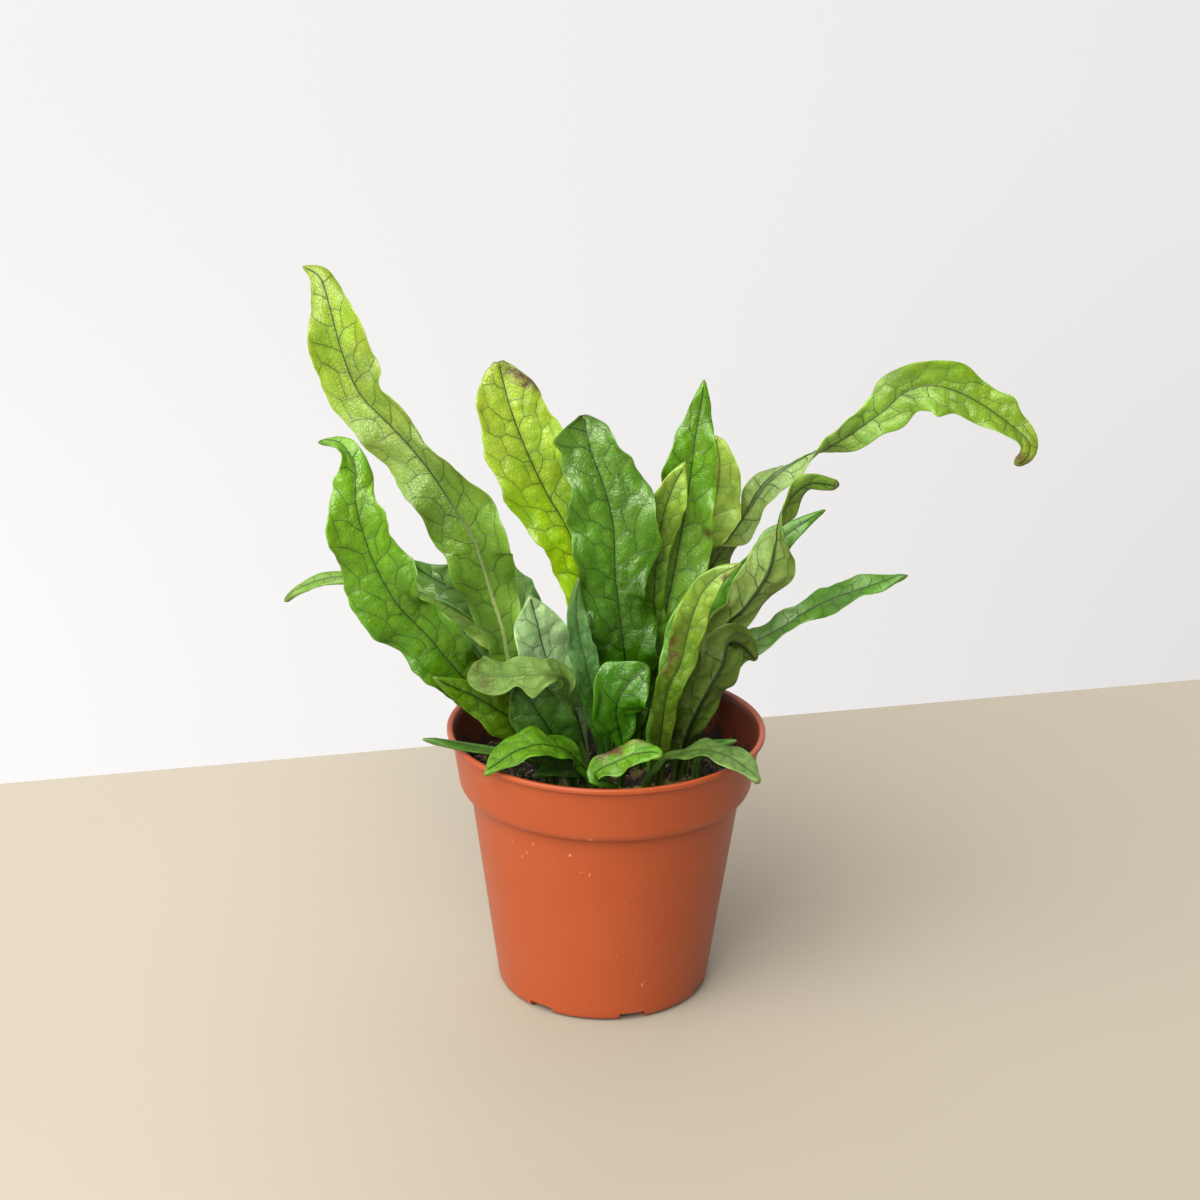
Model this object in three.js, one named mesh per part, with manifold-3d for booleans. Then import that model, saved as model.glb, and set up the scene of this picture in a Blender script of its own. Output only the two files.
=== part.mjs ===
// A strap-leaved fern with netted veins, growing in a 12 cm thin plastic nursery pot.
// Millimetres, +Z up. The origin is the middle of the pot's foot, and -Y is the plant's front.
import * as THREE from "three";
import { mergeVertices } from "three/addons/utils/BufferGeometryUtils.js";
import Module from "manifold-3d";

const wasm = await Module();
wasm.setup();
const { Manifold } = wasm;

// ---- Driving dimensions -------------------------------------------------------------------
const POT = {
  rimRadius: 60, height: 104, wall: 1.3, sides: 40,
  footRadius: 40, footCorner: 2.6, bodyTopRadius: 51.4, bodyTop: 81,
  collarBottomRadius: 54.6, collarTopRadius: 58.2, collarCorner: 1.2,
  flangeHeight: 2.4, flangeCorner: 0.5,
};
const BASE = {
  padRadius: 12, channelHeight: 2.4, channelOuter: 31, channelSlope: 1.5, floorTop: 4,
  notches: 7, notchWidth: 10, notchHeight: 2.2, notchFrom: 30, firstNotch: -35,
  drainRadius: 4, drainAt: 22, drainSides: 12,
};
const SOIL = {
  surface: 83.4, crownRise: 1.6, crownEdge: 38, crownTop: 18, lumps: 0.9, clearance: 0.35,
  sides: 24,
};
const STALK = {
  thickness: 2.4, neck: 11, holeRadius: 2.2, holeSides: 6, holeLength: 16, holeBelow: 0.6,
};
const RHIZOME = { radius: 3.8, sides: 6, step: 12, depth: 82.6, layer: 0.3 };
const BLADE = {
  rib: 1.3, middle: 0.85, margin: 0.7, step: 9, narrowest: 0.9, wideFrom: 11,
  stalkWidth: 3, fullWidth: 9, scallop: 0.05, scallopsPerWave: 1.6,
};
const SEED = 20;

const degrees = (angle) => (angle * Math.PI) / 180;

/** A seeded stream of numbers from 0 to 1. */
function randomStream(seed) {
  let state = seed;
  return () => {
    state = (state * 1664525 + 1013904223) % 4294967296;
    return state / 4294967296;
  };
}

// ---- The fronds ---------------------------------------------------------------------------
// rib: points along the midrib, from its foot in the soil to the tip.
// width: the blade's full width at even steps from foot to tip.
// face: the way its upper side looks, as nearly as the rib allows.
// turn: degrees that the blade is turned about its rib at even steps, right margin forwards.
// cup: degrees that each half is raised towards the upper side; below 0 the margins hang.
// waves: how far the margins wave out of the blade, and how many waves there are.
const PALE = 0x9dbb3e;
const FRESH = 0x6fa63a;
const DEEP = 0x3f7f35;
const FRONDS = [
  { name: "frond_tall_left", colour: FRESH, face: [0, -1, 0.25], cup: 14, waves: [2.2, 7],
    rib: [[-12, 3, 75], [-15, 2, 92], [-28, 0, 113], [-36, -1, 128], [-38.5, -2, 141],
      [-42.5, -3, 155], [-47, -4, 171], [-50, -4, 180], [-65.5, -1, 204], [-78.5, 5, 217.5],
      [-91, 10, 229], [-97.5, 13, 243], [-102, 17, 258], [-106, 22, 269], [-113, 28, 272]],
    width: [2.4, 3, 5, 10, 17, 23, 27, 22, 19.5, 22.5, 23, 15, 1],
    turn: [0, 0, 0, 0, 0, 0, 5, 15, 25, 20, 5, 0, 0] },
  { name: "frond_left_glossy", colour: DEEP, face: [0.1, -1, 0.35], cup: 12, waves: [2.4, 6],
    rib: [[-16, -5, 75], [-19, -7, 90], [-31, -11, 106], [-44, -14, 119], [-55.5, -18, 133],
      [-64, -21, 145.5], [-70, -22, 152.5], [-76.5, -24, 161], [-83, -25, 174], [-87, -26, 186],
      [-90, -25, 198], [-91, -20, 212], [-97, -13, 217], [-105, -8, 216]],
    width: [2.4, 3, 8, 15, 20.5, 25.5, 27.5, 25.5, 20.5, 10, 1],
    turn: [0, 0, 0, 0, 8, 20, 25, 18, 5, -20, -40] },
  { name: "frond_left_long", colour: PALE, face: [0, -0.6, 0.8], cup: 8, waves: [1.5, 5],
    rib: [[-17, 12, 75], [-21, 14, 90], [-29, 19, 113], [-37, 22, 126], [-50.5, 26, 134.5],
      [-64, 30, 141.5], [-76.5, 34, 145], [-91.5, 37, 147.5], [-107, 39, 147], [-119, 40, 142],
      [-125, 40, 137]],
    width: [2.4, 4, 5, 8, 12, 13, 12, 9, 6, 6, 2],
    turn: [0, 0, 0, 0, 0, 0, 0, 0, 0, 0, 0] },
  { name: "frond_left_dark", colour: DEEP, face: [0, -0.8, 0.6], cup: 10, waves: [1.6, 4],
    rib: [[-9, 10, 75], [-11, 10, 94], [-18, 12, 115], [-29, 14, 128.5], [-37, 15, 138],
      [-48, 16, 146.5], [-56.5, 17, 150.5], [-67, 19, 155.5], [-77, 20, 162]],
    width: [2.4, 3, 5, 9, 13, 15, 14, 13, 1],
    turn: [0, 0, 0, 0, 0, 0, 0, 0, 0] },
  { name: "frond_broad_pale", colour: PALE, face: [0.1, -1, 0.3], cup: 9, waves: [1.6, 6],
    rib: [[0, 12, 75], [-2, 12, 92], [-6, 13, 117], [-9, 15, 145], [-14, 17, 172], [-24, 20, 190],
      [-32, 22, 207], [-37, 24, 220], [-40, 27, 230], [-41.5, 28, 237]],
    width: [2.4, 3, 3.5, 6, 9, 14, 21, 27, 30, 30, 24, 15],
    turn: [0, 0, 0, 0, 0, 0, 0, 0, 0, 0, 0, 0] },
  { name: "frond_broad_dark", colour: DEEP, face: [0.1, -1, 0.3], cup: 10, waves: [2.6, 6],
    rib: [[7, -3, 75], [8, -4, 92], [9, -8, 115], [6.5, -10, 136], [4.5, -11, 152],
      [2.5, -11, 168], [1.5, -9, 186], [-2, -7, 200], [-7, -4, 213], [-10, 0, 225]],
    width: [2.4, 3, 6, 14, 22, 25.5, 26, 29, 33, 30.5, 24, 12],
    turn: [0, 0, 0, 0, 0, 0, 0, 0, 0, 0, 0, 0] },
  { name: "frond_pointed", colour: FRESH, face: [-0.1, -1, 0.3], cup: 14, waves: [1.8, 6],
    rib: [[15, 6, 75], [16, 6, 92], [17, 6, 112], [20, 7, 138], [24, 8, 160], [28, 9, 186],
      [30, 10, 202], [31, 11, 213], [33, 13, 226], [34, 15, 235]],
    width: [2.4, 3, 5, 9, 15, 20, 23, 23, 18, 12, 1],
    turn: [0, 0, 0, 0, 0, 0, 0, 0, 0, 0, 0] },
  { name: "frond_behind_pointed", colour: PALE, face: [0.1, -1, 0.3], cup: 8, waves: [1.5, 5],
    rib: [[20, 17, 75], [23, 18, 95], [28, 20, 123], [31, 21, 152], [36, 23, 172],
      [40, 25, 188], [41, 27, 200], [39, 30, 209]],
    width: [2.4, 3, 5, 9, 14, 19, 20, 17, 5],
    turn: [0, 0, 0, 0, 0, 0, 0, 0, 0] },
  { name: "frond_narrow_middle", colour: DEEP, face: [0.2, -1, 0.2], cup: 15, waves: [1, 4],
    rib: [[13, 1, 75], [13, 1, 92], [14, 1, 110], [17.5, 0, 139], [17, 0, 155], [17.5, 0, 170],
      [19.5, 0, 186], [23, 0, 198], [27.5, 1, 208]],
    width: [2.4, 3, 5, 8, 9, 9, 8, 12, 14, 1],
    turn: [0, 0, 0, 0, 0, 0, 0, 0, 0, 0] },
  { name: "frond_edge_right", colour: DEEP, face: [0, -1, 0.3], cup: 15, waves: [1, 4],
    rib: [[17, -8, 75], [17, -10, 90], [19, -14, 111], [22.5, -16, 126.5], [24, -16, 138.5],
      [25.5, -15, 150], [28, -14, 158.5], [31, -13, 163]],
    width: [2.4, 3, 6, 8, 9, 9, 7, 1],
    turn: [0, 0, 0, 0, 0, 0, 0, 0] },
  { name: "frond_long_right", colour: FRESH, face: [0, -1, 0.3], cup: 12, waves: [1.8, 8],
    rib: [[23, 9, 75], [24, 10, 92], [26, 12, 112], [31, 13, 141], [39, 15, 163],
      [48, 16, 177], [58, 16, 195], [70, 16, 204], [84, 15, 212], [99, 13, 224],
      [107, 12, 232], [116, 11, 235], [126, 10, 233], [136, 9, 228], [146, 8, 221],
      [152, 6, 216], [152, 5, 211], [148, 6, 207]],
    width: [2.4, 3, 5, 9, 13, 15, 13, 13, 11, 12, 15, 18.5, 16, 11, 4],
    turn: [0, 0, 0, 0, 0, -20, -110, -145, -110, -30, 0, 0, 10, 20, 30] },
  { name: "frond_curled_right", colour: PALE, face: [-0.2, 1, 0.3], cup: 10, waves: [1.6, 5],
    rib: [[29, -5, 75], [30, -6, 92], [35, -8, 120], [43, -9, 147], [50, -10, 156],
      [58, -10, 169], [61, -10, 180], [62, -10, 190], [66, -8, 198], [73, -7, 203],
      [83, -6, 202]],
    width: [2.4, 3, 5, 10, 16, 15, 17, 19, 14, 11, 4],
    turn: [0, 0, 0, 0, 0, 0, 0, 30, 120, 160, 180] },
  { name: "frond_dark_right", colour: DEEP, face: [0, -0.9, 0.5], cup: 12, waves: [1.2, 4],
    rib: [[30, 10, 75], [30, 9, 92], [31, 9, 112], [35, 8, 132], [45, 7, 150], [53, 8, 163],
      [62, 9, 174], [72, 10, 182], [80, 11, 187]],
    width: [2.4, 3, 5, 9, 12, 13, 12, 10, 7, 1],
    turn: [0, 0, 0, 0, 0, 0, 0, 0, 0, 0] },
  { name: "frond_low_right", colour: DEEP, face: [0, -0.5, 0.9], cup: 10, waves: [1.4, 5],
    rib: [[34, 1, 75], [34, 1, 92], [34, 1, 107], [37, 0, 118], [43, -1, 128], [53, 0, 137],
      [65, 2, 143.5], [73, 3, 149], [82, 1, 155], [95, -1, 161], [110, -4, 167]],
    width: [2.4, 3, 5, 9, 13, 13, 10, 9, 12, 9, 1],
    turn: [0, 0, 0, 0, 0, 0, 0, 0, 0, 0, 0] },
  { name: "frond_front_pale", colour: PALE, face: [-0.1, -1, 0.3], cup: 14, waves: [1, 5],
    rib: [[20, -15, 75], [20, -15, 92], [20.5, -18, 109], [22.5, -22, 127.5], [26.5, -25, 138.5],
      [28.5, -26, 149], [30.5, -28, 159], [34, -29, 168.5], [40, -29, 175.5], [47.5, -29, 179.5]],
    width: [2.4, 3.4, 8, 9.5, 10.5, 11, 12, 9, 1],
    turn: [0, 0, 0, 0, 0, 0, 0, 0, 0] },
  { name: "frond_folded_right", colour: FRESH, face: [-0.2, 0.9, 0.4], cup: 10, waves: [1.4, 4],
    rib: [[26, -9, 75], [27, -11, 92], [31, -15, 111], [37, -18, 126], [42, -19, 137],
      [44, -18, 145], [49, -14, 143], [55, -9, 135]],
    width: [2.4, 4, 9, 15, 18, 17, 12, 3],
    turn: [0, 0, 0, 0, 0, 0, 0, 0] },
  { name: "frond_folded_front", colour: PALE, face: [0, 0.75, -0.65], cup: 8, waves: [1.2, 5],
    rib: [[-6, -11, 75], [-7.5, -12, 92], [-13, -14.5, 109], [-15, -16.5, 120.5],
      [-15, -21.5, 130], [-20.5, -27.5, 135.5], [-30, -29, 136], [-38, -30, 135.5],
      [-46, -31, 136.5], [-49.5, -31, 138.5]],
    width: [2.4, 3, 4, 5, 6, 12, 13, 13, 9],
    turn: [0, 0, 0, 0, 0, 0, 0, 0, 0] },
  { name: "frond_front_left", colour: DEEP, face: [0, -0.9, 0.4], cup: 8, waves: [1.4, 4],
    rib: [[-18, -12, 75], [-20, -13, 92], [-25, -15, 104], [-31, -17, 111], [-38, -21, 117],
      [-47, -25, 124.5], [-57, -29, 131], [-63, -31, 135]],
    width: [2.4, 3, 7, 14, 18, 17, 13, 8, 1],
    turn: [0, 0, 0, 0, 0, 0, 0, 0, 0] },
  { name: "frond_over_rim_left", colour: FRESH, face: [-0.2, -0.5, 0.9], cup: 6, waves: [1, 4],
    rib: [[-2, -17, 75], [-4, -19, 87], [-9, -23, 97], [-14, -27, 104.5], [-20, -32, 109],
      [-26, -36.5, 111], [-34, -42, 110], [-39.5, -47, 107.5], [-43.5, -51, 105]],
    width: [2.4, 3, 4, 8, 14, 16, 15, 10, 1],
    turn: [0, 0, 0, 0, 0, 0, 0, 0, 0] },
  { name: "frond_thin_left", colour: FRESH, face: [0, -0.2, 1], cup: 8, waves: [0.6, 3],
    rib: [[-22, -11, 75], [-23, -13, 88], [-27, -19, 97], [-35, -24, 102], [-44, -27, 104.5],
      [-54, -29, 107.3], [-67, -31, 110.5]],
    width: [2.4, 3, 4, 5, 6, 5, 1],
    turn: [0, 0, 0, 0, 0, 0, 0] },
  { name: "frond_small_front", colour: FRESH, face: [0, -0.6, 0.8], cup: 8, waves: [0.8, 4],
    rib: [[4, -18, 75], [4, -20, 86], [1, -25, 91], [-3.5, -29, 95], [-2.5, -31, 99],
      [3, -33, 103], [11, -36, 108], [17, -39.5, 110], [20.5, -42, 109.5]],
    width: [2.4, 3, 3.5, 6, 10, 12, 10, 3],
    turn: [0, 0, 0, 0, 0, 0, 0, 0] },
  { name: "frond_over_rim_right", colour: FRESH, face: [0.2, -0.4, 0.9], cup: 6, waves: [1, 4],
    rib: [[14, -16, 75], [15, -18, 88], [20, -23, 98], [27, -29, 105], [35, -36, 110],
      [43, -43, 111], [50, -50, 109.5], [55, -56, 106]],
    width: [2.4, 3, 6, 9, 11, 12, 11, 2],
    turn: [0, 0, 0, 0, 0, 0, 0, 0] },
  { name: "frond_small_right", colour: FRESH, face: [0, -0.5, 0.9], cup: 8, waves: [0.6, 3],
    rib: [[33, -7, 75], [34, -8, 88], [36, -13, 99], [39, -18, 104], [43, -23, 107],
      [48, -27, 110]],
    width: [2.4, 3, 5, 6, 5, 1],
    turn: [0, 0, 0, 0, 0, 0] },
  { name: "frond_small_left", colour: DEEP, face: [0, -0.5, 0.9], cup: 8, waves: [0.6, 3],
    rib: [[-7, -17, 75], [-8, -18, 87], [-11.5, -21.5, 94.5], [-19.5, -28, 97.5],
      [-27, -34, 97.5]],
    width: [2.4, 3, 8, 8, 1],
    turn: [0, 0, 0, 0, 0] },
  { name: "frond_silvery", colour: FRESH, face: [0.1, -0.9, 0.5], cup: 8, waves: [1.2, 4],
    rib: [[-6, 4, 75], [-8, 3, 92], [-11.5, -1, 109], [-17, -6, 120.5], [-21.5, -8, 131],
      [-24, -8, 139], [-26, -8, 148], [-29, -6, 158]],
    width: [2.4, 3, 4, 8, 13, 18, 20, 18, 1],
    turn: [0, 0, 0, 0, 0, 0, 0, 0, 0] },
  { name: "frond_narrow_left", colour: DEEP, face: [0, -1, 0.2], cup: 22, waves: [1, 4],
    rib: [[0, -6, 75], [0, -8, 92], [-3, -13, 112], [-6.5, -16, 130], [-10, -17.5, 146],
      [-11.5, -18, 159], [-10.5, -18, 169.5]],
    width: [2.4, 3, 7, 10, 11, 8, 1],
    turn: [0, 0, 0, 0, 0, 0, 0] },
  { name: "frond_young_front", colour: FRESH, face: [0.25, -0.8, 0.55], cup: 8, waves: [1.4, 3],
    rib: [[5, -14, 75], [6, -15, 90], [5.5, -17, 106], [3.5, -18.5, 116], [5, -19, 124],
      [10, -18.5, 131], [15, -17.5, 135.5]],
    width: [2.4, 3, 3.5, 4, 15, 24, 18, 5],
    turn: [0, 0, 0, 0, 0, 0, 0, 0] },
  { name: "frond_back_left", colour: FRESH, face: [0, -0.3, 1], cup: 10, waves: [1.8, 5],
    rib: [[-14, 18, 75], [-17, 20, 92], [-26, 30, 116], [-35, 44, 133], [-42, 60, 142],
      [-47, 74, 142]],
    width: [2.4, 3, 9, 17, 20, 17, 1],
    turn: [0, 0, 0, 0, 0, 0, 0] },
  { name: "frond_back_middle", colour: DEEP, face: [0, -0.3, 1], cup: 10, waves: [2, 5],
    rib: [[3, 20, 75], [3, 23, 92], [4, 33, 122], [6, 47, 145], [9, 63, 158], [12, 78, 160]],
    width: [2.4, 3, 10, 18, 22, 18, 1],
    turn: [0, 0, 0, 0, 0, 0, 0] },
  { name: "frond_back_right", colour: FRESH, face: [0, -0.3, 1], cup: 10, waves: [1.8, 5],
    rib: [[17, 19, 75], [19, 23, 92], [24, 35, 122], [29, 49, 142], [34, 64, 151], [38, 78, 150]],
    width: [2.4, 3, 9, 16, 19, 15, 1],
    turn: [0, 0, 0, 0, 0, 0, 0] },
  { name: "frond_back_low", colour: PALE, face: [0, -0.2, 1], cup: 8, waves: [1.2, 4],
    rib: [[10, 27, 75], [11, 31, 88], [14, 42, 102], [18, 55, 110], [22, 68, 110], [24, 78, 104]],
    width: [2.4, 3, 9, 13, 13, 9, 1],
    turn: [0, 0, 0, 0, 0, 0, 0] },
  { name: "frond_back_far_left", colour: DEEP, face: [0, -0.3, 1], cup: 10, waves: [1.4, 4],
    rib: [[-26, 9, 75], [-31, 14, 90], [-41, 26, 106], [-50, 37, 118], [-61, 47, 124],
      [-70, 55, 123]],
    width: [2.4, 3, 8, 14, 15, 12, 1],
    turn: [0, 0, 0, 0, 0, 0, 0] },
  { name: "frond_back_far_right", colour: DEEP, face: [0, -0.3, 1], cup: 10, waves: [1.4, 4],
    rib: [[31, 16, 75], [33, 19, 92], [39, 32, 113], [45, 47, 126], [50, 62, 131],
      [54, 75, 128]],
    width: [2.4, 3, 8, 14, 16, 12, 1],
    turn: [0, 0, 0, 0, 0, 0, 0] },
  { name: "frond_under_fold", colour: DEEP, face: [0, -1, 0.3], cup: 8, waves: [1.2, 3],
    rib: [[-12, -14, 75], [-12.5, -15, 88], [-16, -17.5, 101], [-20.5, -20.5, 110],
      [-25, -22.5, 118], [-29, -23, 125], [-32.5, -23, 131]],
    width: [2.4, 3, 8, 17, 23, 19, 10],
    turn: [0, 0, 0, 0, 0, 0, 0] },
];

// The creeping rhizome that the fronds rise from: one list of [x, y] for each branch.
const RHIZOME_BRANCHES = [
  [[-26, -9], [-12, -12], [0, -15], [12, -16], [24, -12], [35, -7]],
  [[-24, 3], [-10, 3], [4, -4], [14, 1], [26, 6], [36, 5]],
  [[-30, 9], [-14, 15], [2, 16], [18, 17], [33, 15]],
  [[-13, -12], [-10, 3], [-12, 15]],
];

// ---- Geometry helpers ---------------------------------------------------------------------
/** The value at share u of a smooth curve through evenly spaced values. */
function along(values, u) {
  const place = u * (values.length - 1);
  const i = Math.min(Math.floor(place), values.length - 2);
  const t = place - i;
  const [b, c] = [values[i], values[i + 1]];
  const a = i > 0 ? values[i - 1] : 2 * b - c;
  const d = i + 2 < values.length ? values[i + 2] : 2 * c - b;
  return b + 0.5 * t * (c - a + t * (2 * a - 5 * b + 4 * c - d + t * (3 * (b - c) + d - a)));
}

/** A closed geometry from a list of [x, y, z] and a list of triangles. */
function geometryOf(points, triangles) {
  const geometry = new THREE.BufferGeometry();
  geometry.setAttribute("position", new THREE.Float32BufferAttribute(points.flat(), 3));
  geometry.setIndex(triangles.flat());
  return geometry;
}

function toSolid(geometry) {
  const bare = geometry.clone();
  bare.deleteAttribute("normal");
  bare.deleteAttribute("uv");
  const merged = mergeVertices(bare, 1e-4);
  return new Manifold(new wasm.Mesh({
    numProp: 3,
    vertProperties: new Float32Array(merged.attributes.position.array),
    triVerts: new Uint32Array(merged.index.array),
  }));
}

/** The largest body of a solid, as a geometry: loose scraps are dropped. */
function fromSolid(solid) {
  const bodies = solid.decompose().sort((a, b) => b.volume() - a.volume());
  const mesh = bodies[0].getMesh();
  const geometry = new THREE.BufferGeometry();
  geometry.setAttribute("position", new THREE.BufferAttribute(mesh.vertProperties, 3));
  geometry.setIndex(new THREE.BufferAttribute(mesh.triVerts, 1));
  return geometry;
}

/** A solid turned about Z from a closed outline of [radius, height]. */
function turned(outline, sides) {
  const profile = [...outline, outline[0]].map(([r, z]) => new THREE.Vector2(r, z));
  return toSolid(new THREE.LatheGeometry(profile, sides).rotateX(Math.PI / 2));
}

// ---- Pot ----------------------------------------------------------------------------------
/** Radius of the pot's tapering outer body at a height. */
function bodyRadius(z) {
  return POT.footRadius + ((POT.bodyTopRadius - POT.footRadius) * z) / POT.bodyTop;
}

/** Radius of the collar band's outside at a height. */
function collarRadius(z) {
  const share = (z - POT.bodyTop) / (POT.height - POT.flangeHeight - POT.bodyTop);
  return POT.collarBottomRadius + (POT.collarTopRadius - POT.collarBottomRadius) * share;
}

function pot() {
  const { wall, height, bodyTop, footRadius, footCorner, rimRadius } = POT;
  const { padRadius, channelHeight, channelOuter, channelSlope, floorTop } = BASE;
  const flange = height - POT.flangeHeight;
  const corner = POT.flangeCorner;
  const collarFoot = bodyTop + POT.collarCorner;
  const outside = [
    [footRadius - footCorner, 0], [footRadius - footCorner * 0.3, footCorner * 0.3],
    [bodyRadius(footCorner), footCorner], [bodyRadius(bodyTop), bodyTop],
    [collarRadius(bodyTop), bodyTop], [collarRadius(collarFoot) + wall / 4, collarFoot],
    [collarRadius(flange), flange], [rimRadius - corner, flange + corner / 2],
    [rimRadius, flange + corner * 1.5], [rimRadius, height - corner],
    [rimRadius - corner, height],
  ];
  const inside = [
    [rimRadius - wall - corner, height], [collarRadius(flange) - wall, height - wall],
    [collarRadius(bodyTop) - wall, bodyTop + wall],
    [bodyRadius(bodyTop) - wall, bodyTop + wall / 2],
    [bodyRadius(floorTop) - wall, floorTop], [0, floorTop],
  ];
  const underside = [
    [0, 0], [padRadius, 0], [padRadius + channelSlope, channelHeight],
    [channelOuter - channelSlope, channelHeight], [channelOuter, 0],
  ];
  let solid = turned([...underside, ...outside, ...inside], POT.sides);
  for (let i = 0; i < BASE.notches; i += 1) {
    const angle = degrees(BASE.firstNotch + (360 / BASE.notches) * i - 90);
    const reach = footRadius + footCorner - BASE.notchFrom;
    const notch = new THREE.BoxGeometry(reach, BASE.notchWidth, 2 * BASE.notchHeight)
      .translate(BASE.notchFrom + reach / 2, 0, 0)
      .rotateZ(angle);
    const between = angle + Math.PI / BASE.notches;
    const { drainRadius, drainAt, drainSides } = BASE;
    const drain = new THREE.CylinderGeometry(drainRadius, drainRadius, 3 * floorTop, drainSides)
      .rotateX(Math.PI / 2)
      .translate(drainAt * Math.cos(between), drainAt * Math.sin(between), 0);
    solid = solid.subtract(toSolid(notch)).subtract(toSolid(drain));
  }
  return fromSolid(solid);
}

// ---- Fronds -------------------------------------------------------------------------------
/** The rib's curve: a smooth line through the frond's points. */
function ribCurve(frond) {
  const points = frond.rib.map((p) => new THREE.Vector3(...p));
  const curve = new THREE.CatmullRomCurve3(points, false, "catmullrom", 0.5);
  curve.arcLengthDivisions = 400;
  return curve;
}

/**
 * A waved, keeled strap along the rib, closed, with the same triangles on both faces.
 * A point at share u of the rib and share s of the half width lies s * width / 2 across,
 * raised by the cup and by a wave that grows with the square of s.
 */
function frondGeometry(frond, phases) {
  const curve = ribCurve(frond);
  const steps = Math.max(6, Math.round(curve.getLength() / BLADE.step));
  const widest = Math.max(...frond.width);
  const shares = widest > BLADE.wideFrom ? [-1, -0.5, 0, 0.5, 1] : [-1, 0, 1];
  const face = new THREE.Vector3(...frond.face).normalize();
  const cup = degrees(frond.cup);
  const [waveHeight, waveCount] = frond.waves;
  const points = [];
  for (let i = 0; i <= steps; i += 1) {
    const u = i / steps;
    const rib = curve.getPointAt(u);
    const tangent = curve.getTangentAt(u);
    const normal = face.clone().addScaledVector(tangent, -face.dot(tangent)).normalize();
    const across = new THREE.Vector3().crossVectors(tangent, normal);
    const turn = degrees(along(frond.turn, u));
    const right = across.clone().multiplyScalar(Math.cos(turn)).addScaledVector(normal, Math.sin(turn));
    const up = normal.clone().multiplyScalar(Math.cos(turn)).addScaledVector(across, -Math.sin(turn));
    const width = Math.max(along(frond.width, u), BLADE.narrowest);
    const opened = (width - BLADE.stalkWidth) / (BLADE.fullWidth - BLADE.stalkWidth);
    const blade = Math.min(1, Math.max(0, opened));
    const beat = 2 * Math.PI * waveCount * u;
    for (const s of shares) {
      const side = s < 0 ? 0 : 1;
      const wave = Math.sin(beat + phases[side]);
      const bump = Math.sin(BLADE.scallopsPerWave * beat + phases[side + 2]);
      const scallop = 1 + BLADE.scallop * blade * bump;
      const half = (width / 2) * scallop * Math.abs(s);
      const lift = half * Math.sin(cup * blade) + waveHeight * blade * s * s * wave;
      const out = Math.sign(s) * half * Math.cos(cup * blade);
      const middle = rib.clone().addScaledVector(right, out).addScaledVector(up, lift);
      const stalk = BLADE.rib + (STALK.thickness - BLADE.rib) * Math.max(0, 1 - 3 * u);
      const thickness = s === 0 ? Math.max(BLADE.margin, stalk * Math.min(1, 3 * (1 - u) + 0.4))
        : Math.abs(s) < 1 ? BLADE.middle : BLADE.margin;
      for (const way of [0.5, -0.5]) {
        points.push(middle.clone().addScaledVector(up, way * thickness).toArray());
      }
    }
  }
  const row = 2 * shares.length;
  const last = shares.length - 1;
  const triangles = [];
  const quad = (a, b, c, d) => triangles.push([a, b, c], [a, c, d]);
  for (let i = 0; i < steps; i += 1) {
    const near = i * row;
    const far = near + row;
    for (let j = 0; j < last; j += 1) {
      const [a, b] = [near + 2 * j, near + 2 * j + 2];
      const [c, d] = [far + 2 * j + 2, far + 2 * j];
      triangles.push([a, b, c], [a, c, d]);
      triangles.push([a + 1, c + 1, b + 1], [a + 1, d + 1, c + 1]);
    }
    quad(near, far, far + 1, near + 1);
    quad(near + 2 * last, near + 2 * last + 1, far + 2 * last + 1, far + 2 * last);
  }
  const tip = steps * row;
  for (let j = 0; j < last; j += 1) {
    quad(2 * j, 2 * j + 1, 2 * j + 3, 2 * j + 2);
    quad(tip + 2 * j, tip + 2 * j + 2, tip + 2 * j + 3, tip + 2 * j + 1);
  }
  return geometryOf(points, triangles);
}

/** The straight plain hole that a stalk stands in, from below its foot to above the soil. */
function stalkHole(frond) {
  const curve = ribCurve(frond);
  const foot = curve.getPointAt(0);
  const length = curve.getLength();
  const way = curve.getPointAt(STALK.neck / length).sub(foot).normalize();
  const { holeRadius, holeLength, holeSides } = STALK;
  const middle = foot.clone().addScaledVector(way, holeLength / 2 - STALK.holeBelow);
  const hole = new THREE.CylinderGeometry(holeRadius, holeRadius, holeLength, holeSides)
    .applyQuaternion(new THREE.Quaternion().setFromUnitVectors(new THREE.Vector3(0, 1, 0), way))
    .translate(middle.x, middle.y, middle.z);
  return toSolid(hole);
}

// ---- Rhizome ------------------------------------------------------------------------------
/** All rhizome branches as one solid, a little fatter where soil makes room for them. */
function rhizomeBranches(extra) {
  const parts = RHIZOME_BRANCHES.map((branch, index) => {
    const depth = RHIZOME.depth - RHIZOME.layer * index;
    const points = branch.map(([x, y]) => new THREE.Vector3(x, y, depth));
    const curve = new THREE.CatmullRomCurve3(points);
    const steps = Math.round(curve.getLength() / RHIZOME.step);
    const section = new THREE.Shape();
    const radius = RHIZOME.radius + extra;
    for (let i = 0; i < RHIZOME.sides; i += 1) {
      const angle = (2 * Math.PI * (i + 0.5)) / RHIZOME.sides;
      const [x, y] = [radius * Math.cos(angle), radius * Math.sin(angle)];
      if (i === 0) section.moveTo(x, y);
      else section.lineTo(x, y);
    }
    section.closePath();
    const path = { steps, extrudePath: curve, bevelEnabled: false };
    return toSolid(new THREE.ExtrudeGeometry(section, path));
  });
  return parts.reduce((all, part) => all.add(part));
}

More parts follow.
